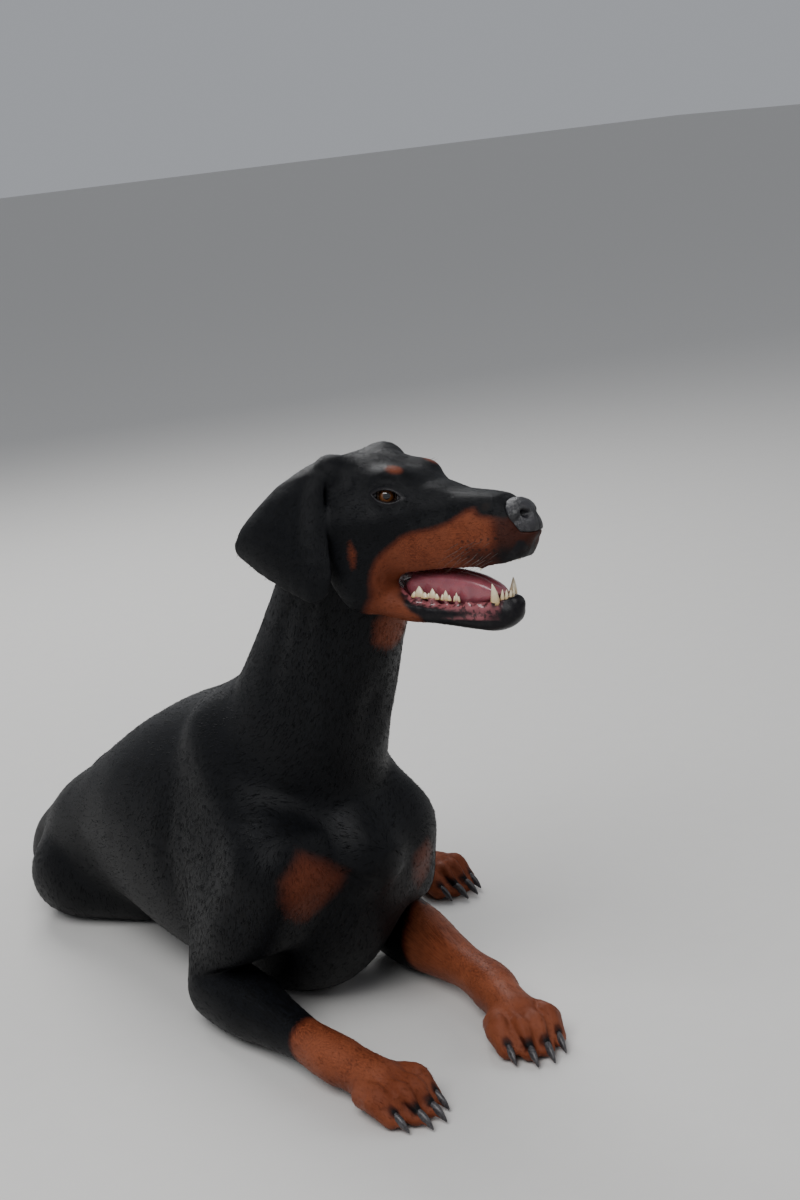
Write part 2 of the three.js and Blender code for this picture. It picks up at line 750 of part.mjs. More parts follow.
function lowerJawForms() {
  const forms = [loft(JAW.map(section(2.5)), [0, 0, 1], 12, 4)];
  for (const side of [1, -1]) forms.push(taper([-196, side * 38, -80], [-222, side * 40, -30], 22, 22, 16));
  return forms;
}

// The lids stand round the eyeball, with an almond opening between them.
const LID_OPENING = { wide: 20, offset: 13.4 };
function lidForms() {
  const forms = [];
  for (const side of [1, -1]) {
    const eye = [EYE[0], side * EYE[1], EYE[2]];
    forms.push(blob(eye, [EYE_RADIUS + 3.4, EYE_RADIUS + 3.4, EYE_RADIUS + 3.4], 9));
    const ahead = unit([0.6, side * 0.79, 0.08]);
    const along = unit(cross([0, 0, 1], ahead));
    const over = cross(ahead, along);
    const lean = side * 0.16;
    const slit = unit(add(along, scale(over, lean)));
    const rise = cross(ahead, slit);
    const distance = (x, y, z) => {
      const p = sub([x, y, z], eye);
      const s = dot(p, slit);
      const v = dot(p, rise);
      const upper = Math.hypot(s, v + LID_OPENING.offset) - LID_OPENING.wide;
      const lower = Math.hypot(s, v - LID_OPENING.offset) - LID_OPENING.wide;
      return Math.max(upper, lower, -dot(p, ahead));
    };
    forms.push(hollow({ distance, blend: 1.5, centre: eye, reach: 40 }));
  }
  return forms;
}

function noseForms() {
  const forms = [blob([-23, 0, -4], [14, 17.5, 15], 6)];
  for (const side of [1, -1]) {
    forms.push(blob([-23, side * 10, -6], [12, 8.5, 11], 4));
    forms.push(hollow(taper([-7, side * 7.5, -3], [-19, side * 10, -3], 3.4, 3.2, 2)));
    forms.push(hollow(taper([-12, side * 10, -5], [-18, side * 19, -10], 1.8, 1.8, 2)));
  }
  return forms;
}

// The space between the palate and the floor of the mouth, inside the lips.
function mouthForms() {
  return [
    hollow(loft([
      { at: [-30, 0, -54], half: 12, rise: 12, drop: 18, round: 2.6 },
      { at: [-44, 0, -58], half: 17, rise: 18, drop: 18, round: 3 },
      { at: [-90, 0, -64], half: 24, rise: 22, drop: 20, round: 3 },
      { at: [-138, 0, -70], half: 30, rise: 22, drop: 14, round: 3 },
      { at: [-158, 0, -76], half: 22, rise: 12, drop: 8, round: 2.4 },
    ], [0, 0, 1], 4, 4)),
    hollow(loft([
      { at: [-50, 0, -88], half: 7, rise: 8, drop: 10, round: 2.4 },
      { at: [-64, 0, -89], half: 11, rise: 12, drop: 13, round: 2.6 },
      { at: [-90, 0, -90], half: 15, rise: 14, drop: 14, round: 2.6 },
      { at: [-138, 0, -86], half: 23, rise: 14, drop: 14, round: 2.6 },
      { at: [-156, 0, -80], half: 19, rise: 8, drop: 8, round: 2.4 },
    ], [0, 0, 1], 4, 4)),
  ];
}

// Teeth stand in rows along the edge of each jaw: incisors, one canine, then cheek teeth.
function toothForms(jaw) {
  const lower = jaw === 'lower';
  const rise = lower ? 1 : -1;
  const forms = [];
  for (const side of [1, -1]) {
    for (let n = 0; n < 3; n += 1) {
      const under = [-38 - n * 2.5, side * (2.4 + n * 3.4), -88];
      const over = [-30 - n * 2, side * (3 + n * 4.2), -42];
      const base = lower ? under : over;
      forms.push(taper(base, add(base, [1, 0, rise * INCISOR_HEIGHT[jaw]]), 2.4, 1.3, 1));
    }
    const canine = lower ? [-48, side * 14, -90] : [-57, side * 19, -40];
    const bend = add(canine, [2, side * 2, rise * 12]);
    forms.push(taper(canine, bend, 5, 4, 1));
    forms.push(taper(bend, add(canine, [0, side * 3, rise * CANINE_HEIGHT[jaw]]), 4, 1.2, 1));
    for (let n = 0; n < 6; n += 1) {
      const big = n > 3 ? 1.5 : 1;
      const h = (lower ? -66 : -73) - n * 12 - Math.max(n - 3, 0) * 3;
      const out = lower ? 17 + n * 1.7 : 24 + n * 1.5;
      const base = [h, side * out, lower ? -92 + n * 0.8 : -42 - n * 1.5];
      forms.push(taper(base, add(base, [0, 0, rise * (6 + 2.4 * big)]), 3.6 * big, 1.5 * big, 1));
    }
  }
  return forms;
}

function tongueForms() {
  return [
    loft([
      { at: [-48, 0, -83], half: 9, rise: 3, drop: 5, round: 2.2 },
      { at: [-56, 0, -80], half: 12, rise: 5, drop: 15, round: 2.3 },
      { at: [-78, 0, -75], half: 15, rise: 8, drop: 30, round: 2.3 },
      { at: [-112, 0, -72], half: 18, rise: 9, drop: 34, round: 2.3 },
      { at: [-146, 0, -74], half: 19, rise: 8, drop: 28, round: 2.3 },
    ], [0, 0, 1], 4, 4),
  ];
}

// An ear is one folded flap, thick at its root and thin at its edge. Both faces share one net.
const EAR_NET = [
  // each row runs down the flap from its fold, front edge first: h, l, u
  [[-216, 44, 46], [-214, 60, 32], [-210, 67, 4], [-203, 74, -32], [-198, 79, -62], [-204, 80, -80]],
  [[-226, 46, 46], [-226, 66, 36], [-224, 78, 6], [-220, 86, -30], [-216, 88, -62], [-216, 86, -90]],
  [[-240, 46, 42], [-244, 68, 32], [-246, 82, 2], [-246, 90, -30], [-244, 91, -58], [-243, 87, -82]],
  [[-252, 42, 36], [-262, 66, 26], [-268, 80, 0], [-272, 89, -26], [-273, 90, -50], [-273, 85, -71]],
  [[-258, 38, 28], [-280, 62, 18], [-292, 76, -2], [-300, 84, -22], [-303, 85, -42], [-304, 81, -59]],
  [[-256, 36, 20], [-292, 58, 8], [-312, 70, -8], [-326, 77, -24], [-333, 78, -36], [-335, 76, -47]],
];
const EAR_ROWS = 8;
const EAR_COLUMNS = 10;

function earMesh(side) {
  const lines = EAR_NET.map((row) => new THREE.CatmullRomCurve3(row.map((p) => new THREE.Vector3(...p))));
  const net = [];
  for (let i = 0; i <= EAR_COLUMNS; i += 1) {
    const t = i / EAR_COLUMNS;
    net.push(lines.map((line) => line.getPoint(t)));
  }
  const middle = [];
  for (const across of net) {
    const curve = new THREE.CatmullRomCurve3(across);
    const line = [];
    for (let j = 0; j <= EAR_ROWS; j += 1) line.push(curve.getPoint(j / EAR_ROWS).toArray());
    middle.push(line);
  }
  const points = [];
  const last = [EAR_COLUMNS, EAR_ROWS];
  const normalAt = (i, j) => {
    const down = sub(middle[Math.min(i + 1, last[0])][j], middle[Math.max(i - 1, 0)][j]);
    const back = sub(middle[i][Math.min(j + 1, last[1])], middle[i][Math.max(j - 1, 0)]);
    return unit(cross(back, down));
  };
  for (const face of [1, -1]) {
    for (let i = 0; i <= EAR_COLUMNS; i += 1) {
      for (let j = 0; j <= EAR_ROWS; j += 1) {
        const rim = Math.min(j, EAR_ROWS - j, EAR_COLUMNS - i) / 3;
        const root = Math.max(0, 1 - i / 4);
        const thick = (EAR_THICKNESS / 2) * Math.min(1, 0.5 + rim) * (1 + 0.9 * root);
        const p = add(middle[i][j], scale(normalAt(i, j), face * thick));
        points.push([p[0], side * p[1], p[2]]);
      }
    }
  }
  const columns = EAR_ROWS + 1;
  const back = (EAR_COLUMNS + 1) * columns;
  const faces = [];
  const quad = (a, b, c, d) => {
    faces.push([a, b, c]);
    faces.push([a, c, d]);
  };
  for (let i = 0; i < EAR_COLUMNS; i += 1) {
    for (let j = 0; j < EAR_ROWS; j += 1) {
      const n = i * columns + j;
      quad(n, n + 1, n + 1 + columns, n + columns);
      faces.push([back + n, back + n + 1 + columns, back + n + 1]);
      faces.push([back + n, back + n + columns, back + n + 1 + columns]);
    }
  }
  const rim = [];
  for (let j = 0; j < EAR_ROWS; j += 1) rim.push(j);
  for (let i = 0; i < EAR_COLUMNS; i += 1) rim.push(i * columns + EAR_ROWS);
  for (let j = EAR_ROWS; j > 0; j -= 1) rim.push(EAR_COLUMNS * columns + j);
  for (let i = EAR_COLUMNS; i > 0; i -= 1) rim.push(i * columns);
  rim.forEach((a, n) => {
    const b = rim[(n + 1) % rim.length];
    quad(b, a, back + a, back + b);
  });
  const solid = solidOf({ points, faces });
  if (solid.volume() > 0) return { points, faces };
  return { points, faces: faces.map(([a, b, c]) => [a, c, b]) };
}

// Cutting planes, each a point and a normal
const CUT = {
  headNeck: { at: [-285, 0, 45], normal: [0.862, 0, 0.507] },
  neckTorso: { at: [0, -60, 372], normal: [0, -0.52, 0.854] },
  nose: { at: [-34, 0, 14], normal: [0.853, 0, 0.522] },
  lip: { at: [0, 0, -20], normal: [0, 0, 1] },
  jaw: { at: [-148, 0, -79], normal: [-0.16, 0, 1] },
};

const sides = ['right', 'left'];
const trunk = trunkForms();
const neck = neckForms();
const arms = Object.fromEntries(sides.map((name) => [name, upperArmForms(name)]));
const body = [...trunk, ...neck, ...arms.right, ...arms.left];

function shape(forms, low, high, cell, target) {
  return solidOf(thin(surface(field(forms), low, high, cell), target));
}

const floor = [0, 0, 0];
const up = [0, 0, 1];
const onFloor = (solid) => solid.intersect(beyond(floor, up));

// Solids of the trunk and limbs
const bodySolid = onFloor(shape(body, [-230, -300, -30], [240, 560, 640], ...NET.body));
const headWorld = { at: headFrame.toWorld(CUT.headNeck.at) };
headWorld.normal = sub(headFrame.toWorld(add(CUT.headNeck.at, CUT.headNeck.normal)), headWorld.at);
const belowHead = below(bodySolid, headWorld.at, headWorld.normal);
const neckSolid = largest(above(belowHead, CUT.neckTorso.at, CUT.neckTorso.normal));
const chestSolid = largest(below(belowHead, CUT.neckTorso.at, CUT.neckTorso.normal));

const solids = { neck: neckSolid };
const ARM_PLANE = { half: 84, lean: 0.12 };
let torso = chestSolid;
for (const name of sides) {
  const side = Math.sign(ELBOW[name][0]);
  const at = [side * ARM_PLANE.half, 0, 180];
  const normal = unit([side, 0, -ARM_PLANE.lean]);
  const rear = { at: [0, 96, 0], normal: unit([0, 1, -0.18]) };
  const armRegion = beyond(at, normal, -GAP).intersect(beyond(rear.at, opposite(rear.normal), -GAP));
  const whole = beyond(at, normal).intersect(beyond(rear.at, opposite(rear.normal)));
  solids[`upper_arm_${name}`] = chestSolid.intersect(whole);
  torso = torso.subtract(armRegion);
}
solids.torso = largest(torso);

for (const name of sides) {
  const elbow = ELBOW[name];
  const wrist = WRIST[name];
  const toes = TOES[name];
  const low = [Math.min(elbow[0], wrist[0]) - 60, wrist[1] - 60, -20];
  const high = [Math.max(elbow[0], wrist[0]) + 60, elbow[1] + 70, 110];
  let forearm = onFloor(shape(forearmForms(name), low, high, ...NET.forearm));
  const armCut = { at: add(elbow, [0, -4, 26]), normal: unit([0, -0.35, -0.94]) };
  solids[`upper_arm_${name}`] = largest(below(solids[`upper_arm_${name}`], armCut.at, armCut.normal));
  forearm = above(forearm, armCut.at, armCut.normal).subtract(grown(solids.torso, GAP));
  const pawCut = { at: add(wrist, [0, -14, 0]), normal: unit(sub(toes, wrist)) };
  solids[`forearm_${name}`] = largest(below(forearm, pawCut.at, pawCut.normal));
  const pawLow = [Math.min(toes[0], wrist[0]) - 60, toes[1] - 40, -20];
  const pawHigh = [Math.max(toes[0], wrist[0]) + 60, wrist[1] + 50, 80];
  const forms = [...forearmForms(name), ...pawForms(wrist, toes, PAW_HALF_WIDTH, 23)];
  const paw = onFloor(shape(forms, pawLow, pawHigh, ...NET.paw));
  solids[`fore_paw_${name}`] = largest(above(paw, pawCut.at, pawCut.normal));
}

// Hind legs: the right one lies under the left one
function hindBox(points, margin) {
  const low = [0, 1, 2].map((k) => Math.min(...points.map((p) => p[k])) - margin);
  const high = [0, 1, 2].map((k) => Math.max(...points.map((p) => p[k])) + margin);
  low[2] = Math.max(low[2], -24);
  return [low, high];
}
const placedHind = [];
for (const name of sides) {
  const [hip, knee, hock, toes] = [HIP[name], KNEE[name], HOCK[name], HIND_TOES[name]];
  const clear = (solid) => placedHind.reduce((left, other) => left.subtract(other), solid);
  const thigh = largest(clear(onFloor(shape(thighForms(name), ...hindBox([hip, knee], 110), ...NET.thigh))));
  solids[`thigh_${name}`] = thigh;
  placedHind.push(grown(thigh, GAP));
  const shank = largest(clear(onFloor(shape(shankForms(name), ...hindBox([knee, hock], 76), ...NET.shank))));
  solids[`shank_${name}`] = shank;
  placedHind.push(grown(shank, GAP));
  const footForms = hindFootForms(name);
  const foot = largest(clear(onFloor(shape(footForms, ...hindBox([hock, toes], 50), ...NET.hindFoot))));
  solids[`hind_foot_${name}`] = foot;
  placedHind.push(grown(foot, GAP));
}
for (const other of placedHind) solids.torso = solids.torso.subtract(other);
solids.torso = largest(solids.torso);

const tailForms = [loft(TAIL_PATH.map((at, n) => {
  const thick = mix(TAIL_RADIUS.root, TAIL_RADIUS.tip, n / (TAIL_PATH.length - 1));
  return { at, half: thick, rise: thick, drop: thick };
}), [0, 0.3, 1], 20, 4)];
const tailShape = shape(tailForms, [-110, 430, -20], [170, 760, 170], ...NET.tail);
const tail = onFloor(tailShape).subtract(grown(solids.torso, GAP));
solids.tail = largest(placedHind.reduce((left, other) => left.subtract(other), tail));

// Solids of the head, in the head's own frame
const neckHere = placed(neck, headFrame);
const faceForms = [...noseForms(), ...lidForms(), ...mouthForms()];
const skull = [...upperHeadForms(), ...neckHere, ...lowerJawForms(), ...faceForms];
const headBox = [[-330, -80, -140], [16, 80, 76]];
const toothed = [...skull, ...toothForms('upper'), ...toothForms('lower')];
const headAll = shape(toothed, ...headBox, ...NET.head);
const headPart = above(headAll, CUT.headNeck.at, CUT.headNeck.normal);
const noseRegion = beyond(CUT.nose.at, CUT.nose.normal, GAP / 2).intersect(beyond(CUT.lip.at, up, GAP / 2));
const noseSpace = beyond(CUT.nose.at, CUT.nose.normal, -GAP / 2).intersect(beyond(CUT.lip.at, up, -GAP / 2));
const jawSide = { at: CUT.jaw.at, normal: unit(CUT.jaw.normal) };
const headSolids = { nose: largest(headPart.intersect(noseRegion)) };
const ball = (radius, side) => {
  const geometry = new THREE.IcosahedronGeometry(radius, 2);
  geometry.translate(EYE[0], side * EYE[1], EYE[2]);
  return solidOf(fromGeometry(geometry));
};
let head = above(headPart, jawSide.at, jawSide.normal).subtract(noseSpace);
for (const name of sides) {
  const side = name === 'left' ? 1 : -1;
  head = head.subtract(ball(EYE_RADIUS + GAP, side));
  headSolids[`eye_${name}`] = ball(EYE_RADIUS, side);
}
headSolids.head = largest(head);
headSolids.jaw = largest(below(headPart, jawSide.at, jawSide.normal));
const tongue = shape(tongueForms(), [-170, -30, -112], [-20, 30, -54], ...NET.tongue);
const besideTongue = grown(headSolids.jaw, GAP).add(grown(headSolids.head, GAP));
headSolids.tongue = largest(tongue.subtract(besideTongue));
for (const name of sides) {
  const ear = solidOf(earMesh(name === 'left' ? 1 : -1));
  headSolids[`ear_${name}`] = largest(ear.subtract(grown(headSolids.head, GAP)));
}

// The assembly
const COLOUR = { tongue: PINK, eye: AMBER, fore_paw: RUST, forearm: RUST, hind_foot: RUST, jaw: RUST };
function material(name) {
  const key = Object.keys(COLOUR).find((start) => name.startsWith(start));
  const color = key ? COLOUR[key] : BLACK;
  const smooth = name.startsWith('eye') || name === 'nose';
  return new THREE.MeshStandardMaterial({ color, roughness: smooth ? 0.15 : 0.5, metalness: 0 });
}

function addTo(group, named) {
  for (const [name, solid] of Object.entries(named)) {
    const mesh = new THREE.Mesh(geometryOf(meshOf(solid)), material(name));
    mesh.name = name;
    group.add(mesh);
  }
}

const dog = new THREE.Group();
dog.name = 'doberman_pinscher';
addTo(dog, solids);
const headGroup = new THREE.Group();
headGroup.position.set(...NOSE);
headGroup.quaternion.setFromRotationMatrix(new THREE.Matrix4().makeBasis(
  new THREE.Vector3(...forward),
  new THREE.Vector3(...leftward),
  new THREE.Vector3(...upward),
));
addTo(headGroup, headSolids);
dog.add(headGroup);

export default dog;
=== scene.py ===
"""A doberman pinscher lying propped on its elbows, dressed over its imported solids.

Metres. X points to the dog's left, Y towards its tail and Z up, with the ground at z = 0.
"""

import math

import bmesh
import bpy
import numpy as np
from bpy.props import FloatProperty, FloatVectorProperty, IntProperty, PointerProperty
from mathutils import Matrix, Vector
from mathutils.kdtree import KDTree


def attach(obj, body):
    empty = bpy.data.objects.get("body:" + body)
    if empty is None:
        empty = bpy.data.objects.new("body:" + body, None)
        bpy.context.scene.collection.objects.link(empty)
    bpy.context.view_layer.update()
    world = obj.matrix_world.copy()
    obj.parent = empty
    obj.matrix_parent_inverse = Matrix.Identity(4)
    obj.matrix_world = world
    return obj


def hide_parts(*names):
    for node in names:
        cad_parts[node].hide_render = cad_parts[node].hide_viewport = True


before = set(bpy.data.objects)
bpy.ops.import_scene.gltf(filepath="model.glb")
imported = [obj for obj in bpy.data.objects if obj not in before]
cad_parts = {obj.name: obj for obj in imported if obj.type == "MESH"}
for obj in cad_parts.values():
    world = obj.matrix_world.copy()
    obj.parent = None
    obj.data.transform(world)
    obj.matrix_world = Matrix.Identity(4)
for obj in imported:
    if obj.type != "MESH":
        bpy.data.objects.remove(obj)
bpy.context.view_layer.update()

bl_info = {
    "name": "Doberman pinscher",
    "version": (1, 0, 0),
    "blender": (4, 5, 0),
    "location": "View3D > Sidebar > Dog",
    "description": "Builds the skin, coat, eyes, mouth and claws of a lying doberman pinscher",
    "category": "Add Mesh",
}

MM = 0.001
SEED = 11

# The head's frame: forward from the tip of the nose, left and up, in millimetres
NOSE_TIP = Vector((57, -421, 598)) * MM
HEAD_TURN = math.radians(14.37)
HEAD_LIFT = math.radians(0.39)
HEAD_ROLL = math.radians(-3.42)
EYE_PLACE = (-161, 29.5, 13)
EYE_AHEAD = (0.6, 0.79, 0.08)
EYE_RADIUS = 11.5
EYE_LEAN = 0.16
CORNEA_RISE = 0.7

# The opening between the lids: where two circles overlap, in millimetres
ALMOND = {"radius": 19.6, "offset": 13.6}
# Round each eye, in millimetres: the ring of skin that gives the level over the socket, how far the lids
# reach, where they start to fade, how thick they are over the ball and how softly they join the face
SOCKET = {"ring": (19, 27), "reach": 24, "fade": (15, 23), "lid": 1.5, "join": 3.0, "behind": -8}

# Claws, and how far the toes spread apart towards their tips
CLAW_LENGTH = 12
CLAW_RADIUS = 6.4
TOE_SPREAD = 1.14

# Paws: wrist or hock end, toe tips and half width, in millimetres, as the solids have them
PAWS = {
    "fore_right": ((-126, -222), (-108, -372), 33),
    "fore_left": ((96, -214), (50, -356), 33),
    "hind_right": ((271.2, 174.5), (282, 60), 29.7),
    "hind_left": ((266.5, 341.4), (300, 235), 29.7),
}

# Nodes of flesh that the one skin replaces, with the way the hair lies on each
FLESH = {
    "head": (-0.25, 0.97, -0.1), "jaw": (-0.25, 0.97, -0.1),
    "ear_right": (0, 0.5, -0.85), "ear_left": (0, 0.5, -0.85),
    "neck": (0, 0.55, -0.83), "torso": (0, 0.97, -0.25),
    "upper_arm_right": (0, 0.35, -0.93), "upper_arm_left": (0, 0.35, -0.93),
    "forearm_right": (0, -0.96, -0.2), "forearm_left": (-0.2, -0.94, -0.2),
    "fore_paw_right": (0.1, -0.97, -0.2), "fore_paw_left": (-0.25, -0.94, -0.2),
    "thigh_right": (0.3, -0.2, -0.9), "thigh_left": (0.5, -0.3, -0.8),
    "shank_right": (0.97, 0.1, -0.1), "shank_left": (0.5, 0.7, -0.5),
    "hind_foot_right": (0.05, -0.97, -0.2), "hind_foot_left": (0.3, -0.93, -0.2),
    "tail": (0.3, 0.85, -0.4),
}


def head_axes():
    """Forward, left and up of the head, as the rows of a matrix."""
    forward = Vector((
        math.sin(HEAD_TURN) * math.cos(HEAD_LIFT),
        -math.cos(HEAD_TURN) * math.cos(HEAD_LIFT),
        math.sin(HEAD_LIFT),
    ))
    level = Vector((math.cos(HEAD_TURN), math.sin(HEAD_TURN), 0))
    upright = -level.cross(forward)
    left = level * math.cos(HEAD_ROLL) + upright * math.sin(HEAD_ROLL)
    up = upright * math.cos(HEAD_ROLL) - level * math.sin(HEAD_ROLL)
    return np.array([forward, left, up])


HEAD = head_axes()


def to_head(points):
    """World metres to head millimetres."""
    return (np.asarray(points) - np.array(NOSE_TIP)) @ HEAD.T / MM


def from_head(points):
    """Head millimetres to world metres."""
    return np.asarray(points, float) @ HEAD * MM + np.array(NOSE_TIP)


# Sizes and colours that a user would change


class CoatSettings(bpy.types.PropertyGroup):
    black: FloatVectorProperty(
        name="Black", description="Colour of the black coat", subtype="COLOR",
        default=(0.0022, 0.0023, 0.0026))
    # The sheen is painted: a lighter blue-grey mixed into the black coat's colour along random strands,
    # standing in for light on the hair
    painted_sheen: FloatVectorProperty(
        name="Sheen", description="Blue-grey of the black coat in the light", subtype="COLOR",
        default=(0.008, 0.009, 0.012))
    rust: FloatVectorProperty(
        name="Rust", description="Colour of the rust markings", subtype="COLOR", default=(0.20, 0.052, 0.022))
    rust_dark: FloatVectorProperty(
        name="Dark rust", description="Darker hairs in the rust markings", subtype="COLOR",
        default=(0.055, 0.0115, 0.0055))
    rust_light: FloatVectorProperty(
        name="Light rust", description="Paler hairs in the rust markings", subtype="COLOR",
        default=(0.33, 0.105, 0.052))
    leather: FloatVectorProperty(
        name="Leather", description="Bare black skin of lips and lids", subtype="COLOR",
        default=(0.008, 0.0075, 0.009))
    gum: FloatVectorProperty(
        name="Gum", description="Wet pink of gums and palate", subtype="COLOR", default=(0.25, 0.075, 0.085))
    voxel: FloatProperty(
        name="Skin cell", description="Cell of the skin's first net", default=0.0017, unit="LENGTH")
    tufts: IntProperty(
        name="Tufts", description="Number of short tufts on each coat piece", default=16000, min=0)
    tuft_length: FloatProperty(
        name="Tuft length", description="Length of the body's tufts", default=0.009, unit="LENGTH")


class EyeSettings(bpy.types.PropertyGroup):
    iris: FloatVectorProperty(
        name="Iris", description="Colour of the iris", subtype="COLOR", default=(0.085, 0.026, 0.006))
    white: FloatVectorProperty(
        name="White", description="Colour of the white in the corners", subtype="COLOR",
        default=(0.28, 0.19, 0.15))
    iris_radius: FloatProperty(
        name="Iris radius", description="Half width of the iris", default=0.0084, unit="LENGTH")
    pupil_radius: FloatProperty(
        name="Pupil radius", description="Half width of the pupil", default=0.0036, unit="LENGTH")


class MouthSettings(bpy.types.PropertyGroup):
    tooth: FloatVectorProperty(
        name="Tooth", description="Colour of the teeth", subtype="COLOR", default=(0.68, 0.60, 0.43))
    stain: FloatVectorProperty(
        name="Stain", description="Yellow at the roots of the teeth", subtype="COLOR",
        default=(0.45, 0.29, 0.11))
    tongue: FloatVectorProperty(
        name="Tongue", description="Colour of the tongue", subtype="COLOR", default=(0.30, 0.075, 0.095))


class StageSettings(bpy.types.PropertyGroup):
    floor: FloatVectorProperty(
        name="Floor", description="Colour of the floor", subtype="COLOR", default=(0.62, 0.61, 0.59))
    key: FloatProperty(
        name="Key light", description="Power of the main light", default=105.0, unit="POWER")


# Shader maths


class Sock:
    """A socket, or a number, that Python's operators turn into Math nodes."""

    def __init__(self, net, socket):
        self.net = net
        self.socket = socket

    def maths(self, operation, *others):
        return self.net.add("ShaderNodeMath", {"operation": operation}, (self, *others))[0]

    def __add__(self, other):
        return self.maths("ADD", other)

    def __sub__(self, other):
        return self.maths("SUBTRACT", other)

    def __rsub__(self, other):
        return self.net.add("ShaderNodeMath", {"operation": "SUBTRACT"}, (other, self))[0]

    def __mul__(self, other):
        return self.maths("MULTIPLY", other)

    __radd__ = __add__
    __rmul__ = __mul__

    def limited(self, low, high):
        """The value's run from low to high, as 0 to 1."""
        values = {"Value": self, "From Min": low, "From Max": high}
        return self.net.add("ShaderNodeMapRange", {"clamp": True}, values)[0]


class Net:
    """The node tree of one material."""

    def __init__(self, name):
        self.material = bpy.data.materials.new(name)
        self.material.use_nodes = True
        self.tree = self.material.node_tree
        self.shader = self.tree.nodes["Principled BSDF"]

    def put(self, socket, value):
        if isinstance(value, Sock):
            self.tree.links.new(value.socket, socket)
        elif hasattr(socket.default_value, "__len__") and not hasattr(value, "__len__"):
            socket.default_value = [value] * len(socket.default_value)
        elif hasattr(value, "__len__") and len(value) == 3 and len(socket.default_value) == 4:
            socket.default_value = (*value, 1)
        else:
            socket.default_value = value

    def add(self, kind, settings=None, values=()):
        """A node of a kind, with its settings made first, then the values or links of its sockets."""
        node = self.tree.nodes.new(kind)
        for name, value in (settings or {}).items():
            setattr(node, name, value)
        pairs = values.items() if isinstance(values, dict) else enumerate(values)
        for key, value in pairs:
            self.put(node.inputs[key], value)
        return [Sock(self, out) for out in node.outputs]

    def blend(self, mask, first, second):
        node = self.tree.nodes.new("ShaderNodeMix")
        node.data_type = "RGBA"
        colours = [socket for socket in node.inputs if socket.type == "RGBA"]
        self.put(node.inputs[0], mask)
        self.put(colours[0], first)
        self.put(colours[1], second)
        return Sock(self, next(out for out in node.outputs if out.type == "RGBA"))

    def place(self):
        return self.add("ShaderNodeTexCoord")[3]

    def mark(self, name):
        """A number that the mesh carries at each of its points."""
        return self.add("ShaderNodeAttribute", {"attribute_name": name})[2]

    def vector(self, name):
        return self.add("ShaderNodeAttribute", {"attribute_name": name})[1]

    def noise(self, vector, scale, detail=2.0, rough=0.5):
        values = {"Vector": vector, "Scale": scale, "Detail": detail, "Roughness": rough}
        return self.add("ShaderNodeTexNoise", None, values)[0]

    def bump(self, height, strength, distance):
        values = {"Height": height, "Strength": strength, "Distance": distance}
        return self.add("ShaderNodeBump", None, values)[0]

    def surface(self, **sockets):
        for name, value in sockets.items():
            self.put(self.shader.inputs[name.replace("_", " ").title().replace("Ior", "IOR")], value)
        return self.material


# Mesh helpers


def points_of(mesh):
    points = np.empty(len(mesh.vertices) * 3)
    mesh.vertices.foreach_get("co", points)
    return points.reshape(-1, 3)


def normals_of(mesh):
    normals = np.empty(len(mesh.vertices) * 3)
    mesh.vertices.foreach_get("normal", normals)
    return normals.reshape(-1, 3)


def set_points(mesh, points):
    mesh.vertices.foreach_set("co", np.ascontiguousarray(points, float).ravel())
    mesh.update()


def edges_of(mesh):
    edges = np.empty(len(mesh.edges) * 2, np.int32)
    mesh.edges.foreach_get("vertices", edges)
    return edges.reshape(-1, 2)


def relaxed(points, edges, amount, rounds):
    """Points drawn towards the middle of their neighbours, each by its own amount."""
    count = len(points)
    first, second = edges[:, 0], edges[:, 1]
    near = np.bincount(first, minlength=count) + np.bincount(second, minlength=count)
    near = np.maximum(near, 1)
    for _ in range(rounds):
        for axis in range(3):
            line = points[:, axis]
            total = np.bincount(first, line[second], count) + np.bincount(second, line[first], count)
            points[:, axis] = line + amount * (total / near - line)
    return points


def new_piece(name, mesh, material):
    """An object at the origin that rides on the one body."""
    piece = bpy.data.objects.new(name, mesh)
    bpy.context.scene.collection.objects.link(piece)
    mesh.materials.clear()
    mesh.materials.append(material)
    mesh.shade_smooth()
    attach(piece, "root")
    return piece


def merged_copy(names, grow):
    """One mesh of copies of CAD nodes, each closed, its points moved out by a little."""
    joined = bmesh.new()
    for name in names:
        part = bmesh.new()
        part.from_mesh(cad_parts[name].data)
        bmesh.ops.remove_doubles(part, verts=part.verts, dist=1e-6)
        part.normal_update()
        for vert in part.verts:
            vert.co += vert.normal * grow
        mesh = bpy.data.meshes.new(name + "_copy")
        part.to_mesh(mesh)
        part.free()
        joined.from_mesh(mesh)
        bpy.data.meshes.remove(mesh)
    mesh = bpy.data.meshes.new("joined")
    joined.to_mesh(mesh)
    joined.free()
    return mesh


def with_modifier(mesh, kind, settings, groups=None):
    """The mesh after one modifier. groups names a vertex group and gives its weights."""
    helper = bpy.data.objects.new("helper", mesh)
    bpy.context.scene.collection.objects.link(helper)
    if groups is not None:
        name, weights = groups
        group = helper.vertex_groups.new(name=name)
        steps = np.round(weights * 20).astype(int)
        for step in np.unique(steps):
            group.add(np.nonzero(steps == step)[0].tolist(), step / 20, "REPLACE")
    modifier = helper.modifiers.new("change", kind)
    for name, value in settings.items():
        setattr(modifier, name, value)
    graph = bpy.context.evaluated_depsgraph_get()
    changed = bpy.data.meshes.new_from_object(helper.evaluated_get(graph))
    bpy.data.objects.remove(helper)
    bpy.data.meshes.remove(mesh)
    return changed


def mark(mesh, name, values, kind="FLOAT"):
    layer = mesh.attributes.new(name, kind, "POINT")
    key = "vector" if kind == "FLOAT_VECTOR" else "value"
    layer.data.foreach_set(key, np.ascontiguousarray(values, np.float32).ravel())


def smooth_step(low, high, value):
    t = np.clip((value - low) / (high - low), 0, 1)
    return t * t * (3 - 2 * t)


